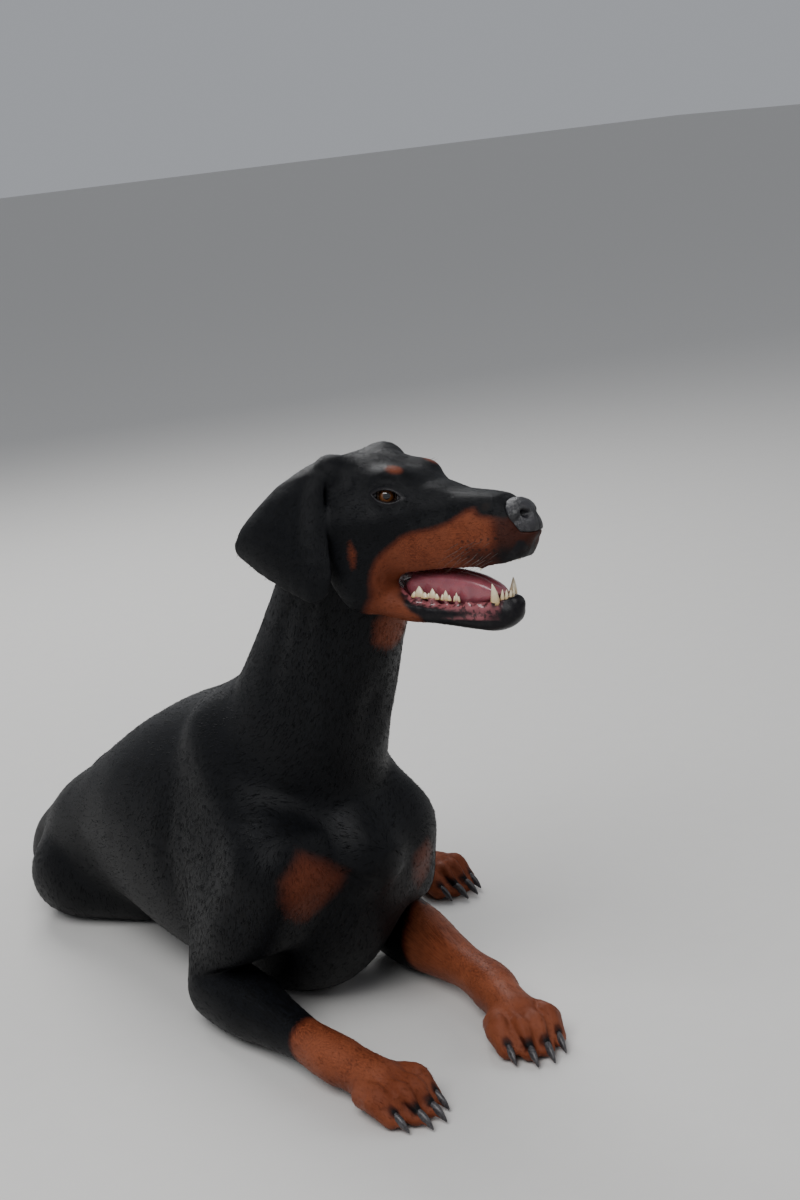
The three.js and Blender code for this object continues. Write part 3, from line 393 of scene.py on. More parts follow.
def line_distance(points, path):
    """Each point's distance from a path of straight lengths, and how far along it that is, 0 to 1."""
    best = np.full(len(points), 1e9)
    along = np.zeros(len(points))
    path = np.asarray(path, float)
    lengths = np.linalg.norm(np.diff(path, axis=0), axis=1)
    starts = np.concatenate([[0], np.cumsum(lengths)])
    for n, (a, b) in enumerate(zip(path[:-1], path[1:])):
        axis = b - a
        t = np.clip((points - a) @ axis / (axis @ axis), 0, 1)
        gap = np.linalg.norm(points - a - t[:, None] * axis, axis=1)
        closer = gap < best
        best[closer] = gap[closer]
        along[closer] = (starts[n] + t[closer] * lengths[n]) / starts[-1]
    return best, along


# Markings. Each outline is in millimetres, and 1 inside and 0 outside once it is softened.

# Side of the head, forward and up in its frame
RUST_FACE = (
    (30, 12), (-34, 9), (-47, 8), (-69, 1), (-85, -9), (-101, -15), (-124, -19), (-137, -24),
    (-149, -33), (-158, -41), (-164, -48), (-170, -59), (-173, -70), (-175, -86), (-184, -98),
    (-205, -120), (-214, -144), (-212, -158), (-188, -172), (-140, -172), (-126, -122),
    (-124, -100), (-118, -80), (-60, -74), (-20, -62), (30, -60),
)
RUST_CHEEK = ((-184, -27), (-179, -40), (-181, -56), (-187, -58), (-190, -44), (-188, -30))
# Spots: middle and half sizes, in the head's frame and in the body's
BROW_SPOT = ((-150, 29, 39), (11.5, 9, 8.5))
VENT_SPOT = ((-58, 512, 62), (34, 26, 30))
# Front of the chest, across and up
RUST_CHEST = (
    ((-121, 209), (-91, 236), (-60, 218), (-37, 197), (-40, 175), (-57, 156), (-79, 138), (-108, 156),
     (-123, 185)),
    ((47, 186), (74, 199), (94, 178), (103, 141), (86, 118), (60, 145)),
)
# How far each marking's edge fades, in millimetres, and how strong its rust is
EDGE = {"face": 7.0, "cheek": 7.0, "chest": 17.0, "leg": 10}
RUST = {"face": 0.88, "cheek": 0.8, "brow": 0.84, "chest": 0.73, "vent": 0.8}
# The line, along the length of each foreleg, in front of which it is rust
FORELEG_LINE = {"right": -174, "left": -74}


def inside(points, outline):
    """Which points of a plane lie inside a closed outline."""
    x, y = points.T
    odd = np.zeros(len(points), bool)
    for (ax, ay), (bx, by) in zip(outline, (*outline[1:], outline[0])):
        if ay != by:
            odd ^= ((ay > y) != (by > y)) & (x < ax + (y - ay) * (bx - ax) / (by - ay))
    return odd


def patch(points, outline, soft):
    """1 inside an outline and 0 outside it, fading over a distance on both sides of its edge."""
    gap = line_distance(points, (*outline, outline[0]))[0]
    return smooth_step(-soft, soft, np.where(inside(points, outline), gap, -gap))


def paw_axes(paw):
    """Heel, forward, across, reach and half width of a paw, in millimetres."""
    heel, toes, wide = PAWS[paw]
    heel = np.array((*heel, 0.0))
    ahead = np.array((*toes, 0.0)) - heel
    reach = np.linalg.norm(ahead)
    ahead /= reach
    return heel, ahead, np.array((-ahead[1], ahead[0], 0)), reach, wide


def toe_rows(paw):
    """For each toe of a paw: how far it reaches, and how far across it lies."""
    reach, wide = paw_axes(paw)[3:]
    return [(reach * (0.88 if abs(n) > 1 else 0.98), n * wide * 0.5) for n in (-1.5, -0.5, 0.5, 1.5)]


def rust_marks(points, owners):
    """How rust-coloured the coat is at each point, 0 to 1; lowest in the darkest patches."""
    head = to_head(points)
    body = points / MM
    near_head = (head[:, 0] > -235) & (head[:, 2] > -185) & (head[:, 2] < 70)
    side = head[:, (0, 2)]
    rust = np.zeros(len(points))
    rust[near_head] = patch(side[near_head], RUST_FACE, EDGE["face"]) * RUST["face"]
    cheek = patch(side[near_head], RUST_CHEEK, EDGE["cheek"]) * RUST["cheek"]
    rust[near_head] = np.maximum(rust[near_head], cheek * (np.abs(head[near_head, 1]) > 34))
    h, _, u = head.T
    # Black beside the nose, and darker towards the lips and the tip of the muzzle
    rust *= 1 - smooth_step(-62, -46, h) * smooth_step(-9, 3, u)
    rust *= 1 - 0.4 * smooth_step(-86, -48, h) * smooth_step(-26, -44, u)
    rust *= 1 - 0.45 * smooth_step(-44, -28, h)
    centre, size = BROW_SPOT
    halved = head.copy()
    halved[:, 1] = np.abs(halved[:, 1])
    brow = np.linalg.norm((halved - centre) / size, axis=1)
    rust = np.maximum(rust, smooth_step(1.35, 0.5, brow) * RUST["brow"])
    for outline in RUST_CHEST:
        front = body[:, 1] < -88
        chest = patch(body[front][:, (0, 2)], outline, EDGE["chest"]) * RUST["chest"]
        rust[front] = np.maximum(rust[front], chest)
    for side_name, line in FORELEG_LINE.items():
        leg = np.isin(owners, (f"forearm_{side_name}", f"fore_paw_{side_name}"))
        wave = 9 * np.sin(body[:, 0] / 17) + 0.3 * (body[:, 2] - 40)
        rust = np.maximum(rust, smooth_step(EDGE["leg"], -EDGE["leg"], body[:, 1] - line - wave) * leg)
    foot = np.isin(owners, ("hind_foot_right", "hind_foot_left"))
    rust = np.maximum(rust, foot)
    shank = np.isin(owners, ("shank_right", "shank_left"))
    rust = np.maximum(rust, shank * smooth_step(205, 235, body[:, 0]))
    centre, size = VENT_SPOT
    vent = np.linalg.norm((body - centre) / size, axis=1)
    rust = np.maximum(rust, smooth_step(1.1, 0.7, vent) * RUST["vent"])
    for paw in PAWS:
        heel, ahead, across, _, _ = paw_axes(paw)
        for toe, off in toe_rows(paw):
            end = heel + ahead * (toe - 8) + across * off * TOE_SPREAD + (0, 0, 18)
            back = end - ahead * 13 + (0, 0, 8)
            gap = line_distance(body, (end, back))[0]
            rust *= 1 - 0.9 * smooth_step(7.5, 3.0, gap)
    return np.clip(rust, 0, 1)


LIP_PLACES = (-152, -128, -98, -60, -34, -22, -14)
UPPER_LIP = (-75, -74, -69, -62, -53, -43, -31)
LOWER_PLACES = (-162, -149, -136, -121, -96, -79, -50, -30)
LOWER_EDGE = (-82, -89, -101, -108, -108, -113, -124, -124)


def leather_marks(head):
    """Bare black skin: the edges of the lips, the chin and the rims of the eyes."""
    h, l, u = head.T
    upper = np.interp(h, LIP_PLACES, UPPER_LIP)
    lower = np.interp(h, LOWER_PLACES, LOWER_EDGE)
    lip = smooth_step(5.0, 1.5, u - upper) * (h < -10) * smooth_step(-160, -153, h) * (u > upper - 6)
    low_lip = smooth_step(-3, 2, u - lower) * smooth_step(-158, -151, h) * (u < -76)
    rim = np.zeros(len(head))
    for side in (1, -1):
        centre, axes = eye_axes(side)
        s, v, d = ((head - centre) @ axes.T).T
        rim = np.maximum(rim, smooth_step(3.4, 1.8, almond_gap(s, v)) * (d > -6) * (np.hypot(s, v) < 24))
    philtrum = smooth_step(2.2, 1.0, np.abs(l)) * (h > -34) * (u < -12) * (u > -60)
    return np.clip(np.maximum.reduce([lip, low_lip, rim, philtrum]), 0, 1)


def eye_axes(side):
    """Centre of an eye, and its slit, rise and ahead directions, in the head's frame."""
    centre = np.array((EYE_PLACE[0], side * EYE_PLACE[1], EYE_PLACE[2]), float)
    ahead = np.array((EYE_AHEAD[0], side * EYE_AHEAD[1], EYE_AHEAD[2]))
    ahead /= np.linalg.norm(ahead)
    along = np.cross((0, 0, 1), ahead)
    along /= np.linalg.norm(along)
    slit = along + np.cross(ahead, along) * side * EYE_LEAN
    slit /= np.linalg.norm(slit)
    return centre, np.array([slit, np.cross(ahead, slit), ahead])


def almond_gap(s, v):
    """Distance from the edge of the lids, negative in the opening."""
    upper = np.hypot(s, v + ALMOND["offset"])
    lower = np.hypot(s, v - ALMOND["offset"])
    return np.maximum(upper, lower) - ALMOND["radius"]


def lidded(points):
    """The skin closed over each socket, drawn into lids and sunk behind the ball inside them."""
    head = to_head(points)
    for side in (1, -1):
        centre, axes = eye_axes(side)
        local = (head - centre) @ axes.T
        s, v, d = local.T
        out = np.hypot(s, v)
        ring = (out > SOCKET["ring"][0]) & (out < SOCKET["ring"][1]) & (d > SOCKET["behind"])
        terms = np.column_stack((np.ones(len(s)), s, v, s * s, s * v, v * v))
        plan, *_ = np.linalg.lstsq(terms[ring], d[ring], rcond=None)
        near = (out < SOCKET["reach"]) & (d > SOCKET["behind"])
        base = terms @ plan
        fade = smooth_step(*SOCKET["fade"], out)
        gap = almond_gap(s, v)
        cover = np.sqrt(np.maximum((EYE_RADIUS + SOCKET["lid"]) ** 2 - s ** 2 - v ** 2, 1))
        soft = SOCKET["join"]
        lid = soft * np.log(np.exp((base - 1.5) / soft) + np.exp(cover / soft))
        lid = np.minimum(lid, np.maximum(base, cover) + 1.2)
        ball = np.sqrt(np.maximum(EYE_RADIUS ** 2 - s ** 2 - v ** 2, 0))
        crease = 0.9 * np.exp(-((gap - 4.6) / 1.3) ** 2) * (0.5 + 0.5 * np.sign(v))
        rim = 0.5 * np.exp(-((gap - 1.2) / 1.1) ** 2) - crease
        lids = (lid + rim) * (1 - fade) + d * fade
        inner = np.minimum(lid - 1.8, np.where(np.abs(s) < 10.4, ball - 1.3, 99))
        opening = inner + (lid + rim - inner) * smooth_step(-0.9, 0.1, gap)
        local[:, 2] = np.where(near, np.where(gap < 0.1, opening, lids), d)
        head[near] = (local @ axes + centre)[near]
    return from_head(head)


# Roots of the left teeth of each jaw in the head's frame: the first incisor and the step to the next,
# the canine, and the first cheek tooth and the step to the next. Then how long the canine is, how big
# each cheek tooth is, and which way the teeth point.
TEETH = {
    "lower": {"incisor": (-38, 2.4, -90), "incisor_step": (-2.5, 3.4, 0), "canine": (-48, 14, -92),
              "cheek": (-66, 17, -93), "cheek_step": (-12, 1.7, 0.8), "long": 20.5,
              "sizes": (0, 0, 0.6, 0.95, 1.15, 1.5), "up": 1},
    "upper": {"incisor": (-30, 3, -40), "incisor_step": (-2, 4.2, 0), "canine": (-57, 19, -38),
              "cheek": (-73, 24, -41), "cheek_step": (-12, 1.5, -1.5), "long": 20,
              "sizes": (1, 1, 1, 1, 1.55, 1.55), "up": -1},
}
MOLAR_GAP = 3


def tooth_root(jaw, kind, n=0):
    """Root of the nth incisor or cheek tooth of the left side, counted from the front."""
    row = TEETH[jaw]
    root = np.array(row[kind], float) + n * np.array(row[kind + "_step"])
    if kind == "cheek":
        root[0] -= max(n - 3, 0) * MOLAR_GAP
    return root


def toothless(points):
    """The skin with the teeth of the lower jaw pressed down into the gum."""
    head = to_head(points)
    canine = np.array(TEETH["lower"]["canine"])
    roots = [(canine, canine + (3, 3.5, 30), 6.4)]
    for n in range(3):
        root = tooth_root("lower", "incisor", n)
        roots.append((root, root + (1, 0, 14), 3.6))
    for n in range(6):
        root = tooth_root("lower", "cheek", n) - (0, 0, 0.5)
        roots.append((root, root + (0, 0, 15.5), 6.0))
    for side in (1, -1):
        for root, tip, radius in roots:
            root = np.array(root, float) * (1, side, 1)
            axis = np.array(tip, float) * (1, side, 1) - root
            length = np.linalg.norm(axis)
            axis /= length
            along = (head - root) @ axis
            off = np.linalg.norm(head - root - along[:, None] * axis, axis=1)
            hit = (off < radius) & (along > 2.0) & (along < length + 3)
            head[hit] -= axis * (along[hit] - 2.0)[:, None]
    return from_head(head)


# Half width of the inside of the mouth at places along it
MOUTH_PLACES = (-172, -158, -138, -98, -60, -44, -30)
MOUTH_WIDTH = (16, 24, 32, 27, 21, 16, 6)


def gum_marks(head):
    """The wet pink inside of the mouth."""
    h, l, u = head.T
    upper = np.interp(h, LIP_PLACES, UPPER_LIP)
    width = np.interp(h, MOUTH_PLACES, MOUTH_WIDTH)
    inside_lips = smooth_step(1.5, -1.0, np.abs(l) - width)
    mouth = (h < -24) * (h > -172) * (u < upper + 14) * (u > -108)
    lower_front = np.where(u < -80, smooth_step(-40, -43, h), 1)
    return np.clip(inside_lips * mouth * lower_front, 0, 1)


# Folds and muscles on the skin: a path, its width and how far it rises (millimetres), in the head's
# frame or the body's. Each one on the head is made on both sides.

HEAD_FOLDS = (
    ("crown", ((-196, 0, 54), (-232, 0, 54)), 16.0, -3.4),
    ("cheek bone", ((-158, 48, -8), (-184, 56, -12), (-212, 58, -14)), 7.0, 1.5),
    ("below the cheek bone", ((-140, 42, -26), (-172, 52, -32), (-198, 56, -38)), 7.0, -1.6),
    ("corner of the mouth", ((-152, 42, -84), (-163, 46, -72), (-166, 47, -56)), 3.0, -1.8),
    ("behind the corner", ((-160, 46, -92), (-174, 50, -78), (-179, 52, -60)), 3.4, -1.2),
    ("upper lip", ((-40, 27, -50), (-75, 31, -60), (-110, 35, -68), (-140, 41, -72)), 3.4, 1.2),
    ("over the upper lip", ((-50, 29, -42), (-85, 33, -50), (-125, 39, -60)), 3.0, -0.8),
    ("whisker bed", ((-40, 26, -32), (-62, 30, -36), (-84, 32, -42)), 10.0, 1.6),
    ("muzzle side", ((-60, 28, 2), (-100, 32, -4), (-130, 38, -10)), 8.0, -1.6),
    ("forehead furrow", ((-150, 0, 32), (-180, 0, 48), (-225, 0, 51)), 6.0, -1.6),
    ("temple", ((-186, 46, 26), (-210, 50, 24)), 9.0, -1.6),
    ("jaw muscle", ((-186, 56, -40), (-190, 56, -72), (-200, 50, -96)), 5.0, -1.2),
    ("nose bridge edge", ((-40, 15, 12), (-90, 17, 15), (-125, 20, 20)), 4.0, 0.6),
    ("lower lip roll", ((-50, 18, -94), (-84, 27, -97), (-120, 33, -98), (-146, 37, -92)), 3.6, 1.4),
    ("lower lip groove", ((-56, 20, -104), (-90, 28, -107), (-124, 35, -108)), 2.6, -1.2),
    ("lower lip wrinkle", ((-128, 35, -92), (-122, 35, -104)), 1.8, -1.3),
    ("second wrinkle", ((-112, 32, -92), (-107, 32, -102)), 1.6, -0.9),
    ("third wrinkle", ((-98, 29, -94), (-94, 29, -103)), 1.6, -0.8),
)
BODY_FOLDS = (
    ("swirl, upper ridge", ((-18, -163, 246), (-17, -177, 225), (-16, -181, 189)), 5, 2.6),
    ("swirl, right ridge", ((-46, -160, 208), (-31, -174, 195), (-19, -179, 187)), 5, 2.6),
    ("swirl, left ridge", ((32, -174, 202), (11, -183, 212), (-4, -185, 208)), 5, 2.4),
    ("under the right ridge", ((-46, -158, 198), (-31, -170, 184), (-20, -176, 176)), 6, -2.4),
    ("breastbone groove", ((-15, -180, 182), (-12, -164, 140), (-6, -128, 80)), 8, -4.0),
    ("hollow of the throat", ((2, -190, 400), (0, -186, 320), (-8, -176, 252)), 15, -5.0),
    ("neck cord right", ((-52, -206, 530), (-46, -172, 440), (-40, -158, 350), (-22, -168, 262)), 10, 3.2),
    ("neck cord left", ((62, -206, 530), (54, -172, 440), (38, -166, 340), (8, -180, 236)), 10, 3.0),
    ("neck hollow right", ((-62, -178, 540), (-66, -132, 470), (-74, -96, 380)), 12, -2.6),
    ("shoulder blade spine", ((-62, 34, 330), (-84, -20, 280), (-98, -84, 226)), 12, 3.0),
    ("collar crease", ((-84, -60, 300), (-66, -118, 278), (-30, -160, 262)), 7, -2.2),
    ("right breast", ((-66, -140, 252), (-72, -148, 214), (-66, -140, 170)), 24, 4.0),
    ("left breast", ((58, -150, 250), (66, -152, 210), (66, -140, 160)), 22, 4.0),
    ("behind the right arm", ((-100, 76, 262), (-126, 84, 190), (-134, 70, 96)), 13, -4.0),
    ("triceps right", ((-108, 20, 240), (-126, 30, 170), (-134, 20, 96)), 15, 3.0),
    ("arm groove right", ((-118, -60, 214), (-126, -40, 150), (-130, -20, 90)), 8, -2.2),
    ("behind the left arm", ((98, 76, 262), (124, 84, 190), (130, 70, 96)), 13, -4.0),
    ("left shoulder blade", ((62, 34, 330), (80, -20, 280), (86, -84, 226)), 12, 3.0),
    ("withers", ((0, -30, 396), (0, 30, 372), (-2, 96, 352)), 10, 2.0),
    ("spine", ((-4, 150, 332), (-14, 230, 298), (-28, 320, 250), (-44, 410, 200)), 6, 2.0),
    ("flank right", ((-108, 300, 150), (-112, 336, 100)), 26, -4.0),
    ("hip fold left", ((70, 300, 210), (20, 360, 215), (-20, 440, 190)), 10, -3.0),
    ("hock cord", ((200, 300, 44), (244, 284, 44)), 6, 1.5),
)
RIBS = {"first": 110, "last": 292, "count": 9, "width": 8.5, "rise": 1.3}
TOE_GROOVE = {"width": 3.9, "rise": -6.0}
TOE_RIDGE = {"width": 6.5, "rise": 3.4}


def folded(points, normals):
    """The skin's points with its folds, muscles, ribs and toes raised or sunk along their normals."""
    head = to_head(points)
    mirrored = head * np.array((1, -1, 1))
    body = points / MM
    rise = np.zeros(len(points))

    def press(places, which, path, width, amount, ends=5):
        gap, along = line_distance(places[which], path)
        fade = np.clip(np.minimum(along, 1 - along) * ends + 0.35, 0, 1)
        rise[which] += amount * np.exp(-(gap / width) ** 2) * fade

    near_head = np.nonzero(head[:, 0] > -300)[0]
    for _, path, width, amount in HEAD_FOLDS:
        for places in ((head,) if path[0][1] == 0 else (head, mirrored)):
            press(places, near_head, path, width, amount)
    near_body = np.nonzero(head[:, 0] < -150)[0]
    for _, path, width, amount in BODY_FOLDS:
        press(body, near_body, path, width, amount)
    for n in range(RIBS["count"]):
        start = RIBS["first"] + (RIBS["last"] - RIBS["first"]) * n / (RIBS["count"] - 1)
        for side in (-1, 1):
            path = ((side * 90, start - 34, 270), (side * 126, start, 180), (side * 122, start + 6, 90))
            press(body, near_body, path, RIBS["width"], RIBS["rise"], 4)
    for paw in PAWS:
        heel, ahead, across, reach, wide = paw_axes(paw)
        near_paw = np.nonzero(np.linalg.norm(body - heel - ahead * reach * 0.6, axis=1) < 90)[0]
        knuckle = reach * 0.52

        def spot(along, off, high):
            return heel + ahead * along + across * off + (0, 0, high)

        for n in (-1, 0, 1):
            off = n * wide * 0.5
            middle = spot(reach * 0.78, off * 1.1, 34)
            path = (spot(knuckle + 2, off, 34), middle, spot(reach * 0.98, off * 1.12, 14))
            press(body, near_paw, path, TOE_GROOVE["width"], TOE_GROOVE["rise"], 4)
        for toe, off in toe_rows(paw):
            end = spot(toe - 12, off * TOE_SPREAD, 24)
            path = (spot(knuckle, off, 34), spot(toe - 30, off * 1.12, 38), end)
            press(body, near_paw, path, TOE_RIDGE["width"], TOE_RIDGE["rise"], 4)
    return points + normals * (rise * MM)[:, None]


def nearest_parts(points):
    """For each point, the name of the part of the body whose surface lies nearest."""
    tree_points = []
    owners = []
    for name in FLESH:
        spots = points_of(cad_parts[name].data)[::3]
        tree_points.append(spots)
        owners += [name] * len(spots)
    tree = KDTree(len(owners))
    for n, place in enumerate(np.concatenate(tree_points)):
        tree.insert(place, n)
    tree.balance()
    return np.array([owners[tree.find(point)[1]] for point in points])


def lie_of_hair(owners, normals, edges):
    """The way the hair lies at each point: along each part of the body, and smooth between them."""
    lie = np.array([FLESH[name] for name in owners], float)
    lie = relaxed(lie, edges, 0.5, 40)
    lie -= normals * (lie * normals).sum(1)[:, None]
    return lie / np.maximum(np.linalg.norm(lie, axis=1), 1e-6)[:, None]


def unwrap(mesh, owners):
    """Lays the skin out flat as a map named OFBake: six sides of each part, packed at one scale.

    Gives each corner's place on the map.
    """
    count = len(mesh.polygons)
    corners = np.empty(count * 3, np.int32)
    mesh.polygons.foreach_get("vertices", corners)
    corners = corners.reshape(-1, 3)
    normals = np.empty(count * 3)
    mesh.polygons.foreach_get("normal", normals)
    normals = normals.reshape(-1, 3)
    names = {name: n for n, name in enumerate(FLESH)}
    part = np.array([names[name] for name in owners[corners[:, 0]]])
    axis = np.abs(normals).argmax(1)
    side = np.take_along_axis(normals, axis[:, None], 1)[:, 0] > 0
    island = part * 6 + axis * 2 + side
    places = points_of(mesh)[corners]
    flat = np.empty((count, 3, 2))
    for n in range(3):
        chosen = axis == n
        flat[chosen] = places[chosen][:, :, [k for k in range(3) if k != n]]
    sheets = []
    for key in np.unique(island):
        faces = island == key
        low = flat[faces].min((0, 1))
        flat[faces] -= low
        sheets.append((key, *flat[faces].max((0, 1))))
    gap = 0.004
    width = math.sqrt(sum((w + gap) * (h + gap) for _, w, h in sheets)) * 1.15
    x = y = tall = 0.0
    for key, w, h in sorted(sheets, key=lambda sheet: -sheet[2]):
        if x + w > width:
            x, y, tall = 0.0, y + tall + gap, 0.0
        flat[island == key] += (x, y)
        x += w + gap
        tall = max(tall, h)
    flat /= max(width, y + tall)
    layer = mesh.uv_layers.new(name="OFBake")
    layer.data.foreach_set("uv", np.ascontiguousarray(flat, np.float32).ravel())
    return flat


# Materials


def coat_material(name, tuft=False):
    look = bpy.context.scene.dog_coat
    net = Net(name)
    rust = net.mark("rust")
    place = net.place()
    hair = net.vector("hair")
    broad = net.noise(place, 14.0, 3.0)
    strands = net.noise(hair, 620.0, 3.0, 0.6)
    fine = net.noise(hair, 1700.0, 2.0, 0.6)
    edge = (rust + (strands - 0.5) * 0.6 + (broad - 0.5) * 0.2).limited(0.3, 0.7)
    # The black coat's colour with a painted blue-grey sheen mixed in along random strands
    black = net.blend(strands.limited(0.42, 0.8), tuple(look.black), tuple(look.painted_sheen))
    warm = net.blend(strands.limited(0.3, 0.62), tuple(look.rust_dark), tuple(look.rust))
    warm = net.blend(broad.limited(0.4, 0.75) * 0.5, warm, tuple(look.rust_light))
    warm = net.blend(rust.limited(1.0, 0.68) * 0.85, warm, tuple(look.rust_dark))
    colour = net.blend(edge, black, warm)
    if tuft:
        height = strands
        rough = 0.4 + fine * 0.15
    else:
        leather = net.mark("leather")
        gum = net.mark("gum")
        mouth = net.noise(place, 190.0, 3.0, 0.6)
        skin = net.blend(mouth.limited(0.45, 0.7), tuple(look.leather), (0.014, 0.013, 0.014))
        flesh = net.blend(mouth.limited(0.5, 0.6), tuple(look.gum), (0.055, 0.018, 0.020))
        colour = net.blend(net.mark("pits"), colour, (0.010, 0.007, 0.006))
        colour = net.blend(leather, colour, skin)
        colour = net.blend(gum, colour, flesh)
        bare = (1 - leather) * (1 - gum)
        grain = net.noise(place, 1100.0, 2.0)
        height = (strands * 0.6 + fine * 0.4) * bare + grain * leather * 0.5
        rough = (0.37 + fine * 0.18) * bare + leather * 0.3 + gum * 0.14
        net.surface(coat_weight=gum * 0.9)
        net.shader.inputs["Coat Roughness"].default_value = 0.1
    bump = net.bump(height, 0.4, 0.0008)
    net.surface(base_color=colour, roughness=rough, normal=bump, specular_ior_level=0.11)
    return net.material


def nose_material():
    net = Net("nose_leather")
    place = net.place()
    grain = {"Vector": place, "Scale": 640.0}
    cells = net.add("ShaderNodeTexVoronoi", {"feature": "DISTANCE_TO_EDGE"}, grain)[0]
    broad = net.noise(place, 70.0, 3.0)
    colour = net.blend(broad.limited(0.4, 0.75), (0.008, 0.008, 0.010), (0.026, 0.025, 0.030))
    bump = net.bump(cells.limited(0.0, 0.25) * 0.7 + broad * 0.3, 0.5, 0.0006)
    rough = 0.24 + broad * 0.2
    net.surface(base_color=colour, roughness=rough, normal=bump, specular_ior_level=0.5)
    return net.material


def tongue_material():
    look = bpy.context.scene.dog_mouth
    net = Net("tongue_flesh")
    place = net.place()
    broad = net.noise(place, 90.0, 3.0)
    buds = net.noise(place, 1300.0, 2.0)
    colour = net.blend(broad.limited(0.35, 0.75), tuple(look.tongue), (0.20, 0.052, 0.07))
    bump = net.bump(buds, 0.4, 0.0005)
    net.surface(base_color=colour, roughness=0.2 + broad * 0.15, normal=bump, specular_ior_level=0.5)
    net.shader.inputs["Subsurface Weight"].default_value = 0.1
    net.shader.inputs["Subsurface Scale"].default_value = 0.004
    net.shader.inputs["Coat Weight"].default_value = 0.5
    net.shader.inputs["Coat Roughness"].default_value = 0.08
    return net.material


def tooth_material():
    look = bpy.context.scene.dog_mouth
    net = Net("tooth_enamel")
    root = net.mark("root")
    streak = net.noise(net.place(), 420.0, 3.0)
    yellow = (root + (streak - 0.5) * 0.5).limited(0.3, 1.0)
    colour = net.blend(yellow, tuple(look.tooth), tuple(look.stain))
    net.surface(base_color=colour, roughness=0.2 + streak * 0.12, normal=net.bump(streak, 0.12, 0.0004))
    net.shader.inputs["Coat Weight"].default_value = 0.4
    return net.material


def claw_material():
    net = Net("claw_horn")
    streak = net.noise(net.place(), 520.0, 3.0)
    colour = net.blend(streak.limited(0.4, 0.75), (0.020, 0.018, 0.020), (0.085, 0.078, 0.082))
    net.surface(base_color=colour, roughness=0.28 + streak * 0.2, normal=net.bump(streak, 0.3, 0.0004))
    return net.material


def eye_material():
    look = bpy.context.scene.dog_eye
    net = Net("wet_eye")
    ring = net.mark("ring")
    place = net.place()
    rays = net.noise(net.vector("rays"), 26.0, 3.0)
    flecks = net.noise(place, 900.0, 2.0)
    iris = net.blend((rays * 0.7 + flecks * 0.3).limited(0.35, 0.7), tuple(look.iris), (0.15, 0.058, 0.014))
    edge = look.iris_radius
    iris = net.blend(ring.limited(edge * 0.72, edge * 0.98), iris, (0.010, 0.005, 0.003))
    pupil = ring.limited(look.pupil_radius * 1.06, look.pupil_radius * 0.94)
    colour = net.blend(pupil, iris, (0.002, 0.002, 0.002))
    colour = net.blend(ring.limited(edge * 0.97, edge * 1.04), colour, tuple(look.white))
    net.surface(base_color=colour, roughness=0.05, specular_ior_level=0.6)
    net.shader.inputs["Coat Weight"].default_value = 1.0
    net.shader.inputs["Coat Roughness"].default_value = 0.02
    return net.material


# Operators: the pieces


# Rows of whiskers on each side of the muzzle: first and last place, forward and up, and how many
WHISKER_ROWS = (((-70, -29), (-34, -25), 6), ((-72, -36), (-30, -37), 7), ((-71, -43), (-40, -47), 6))


def whisker_rows():
    """Roots of all the whiskers, in the head's frame."""
    spots = []
    for side in (1, -1):
        for (h0, u0), (h1, u1), count in WHISKER_ROWS:
            for t in np.linspace(0, 1, count):
                h = h0 + (h1 - h0) * t
                spots.append((h, side * (21.5 - (h + 30) * 0.2), u0 + (u1 - u0) * t))
    return np.array(spots, float)


# Net of the skin: how far the copied solids are moved out, rounds of smoothing before and after it is
# thinned, and how many triangles it is thinned to
SKIN_OUT = 0.45
FIRST_ROUNDS = 40
LAST_ROUNDS = 12
SKIN_TRIANGLES = 132000


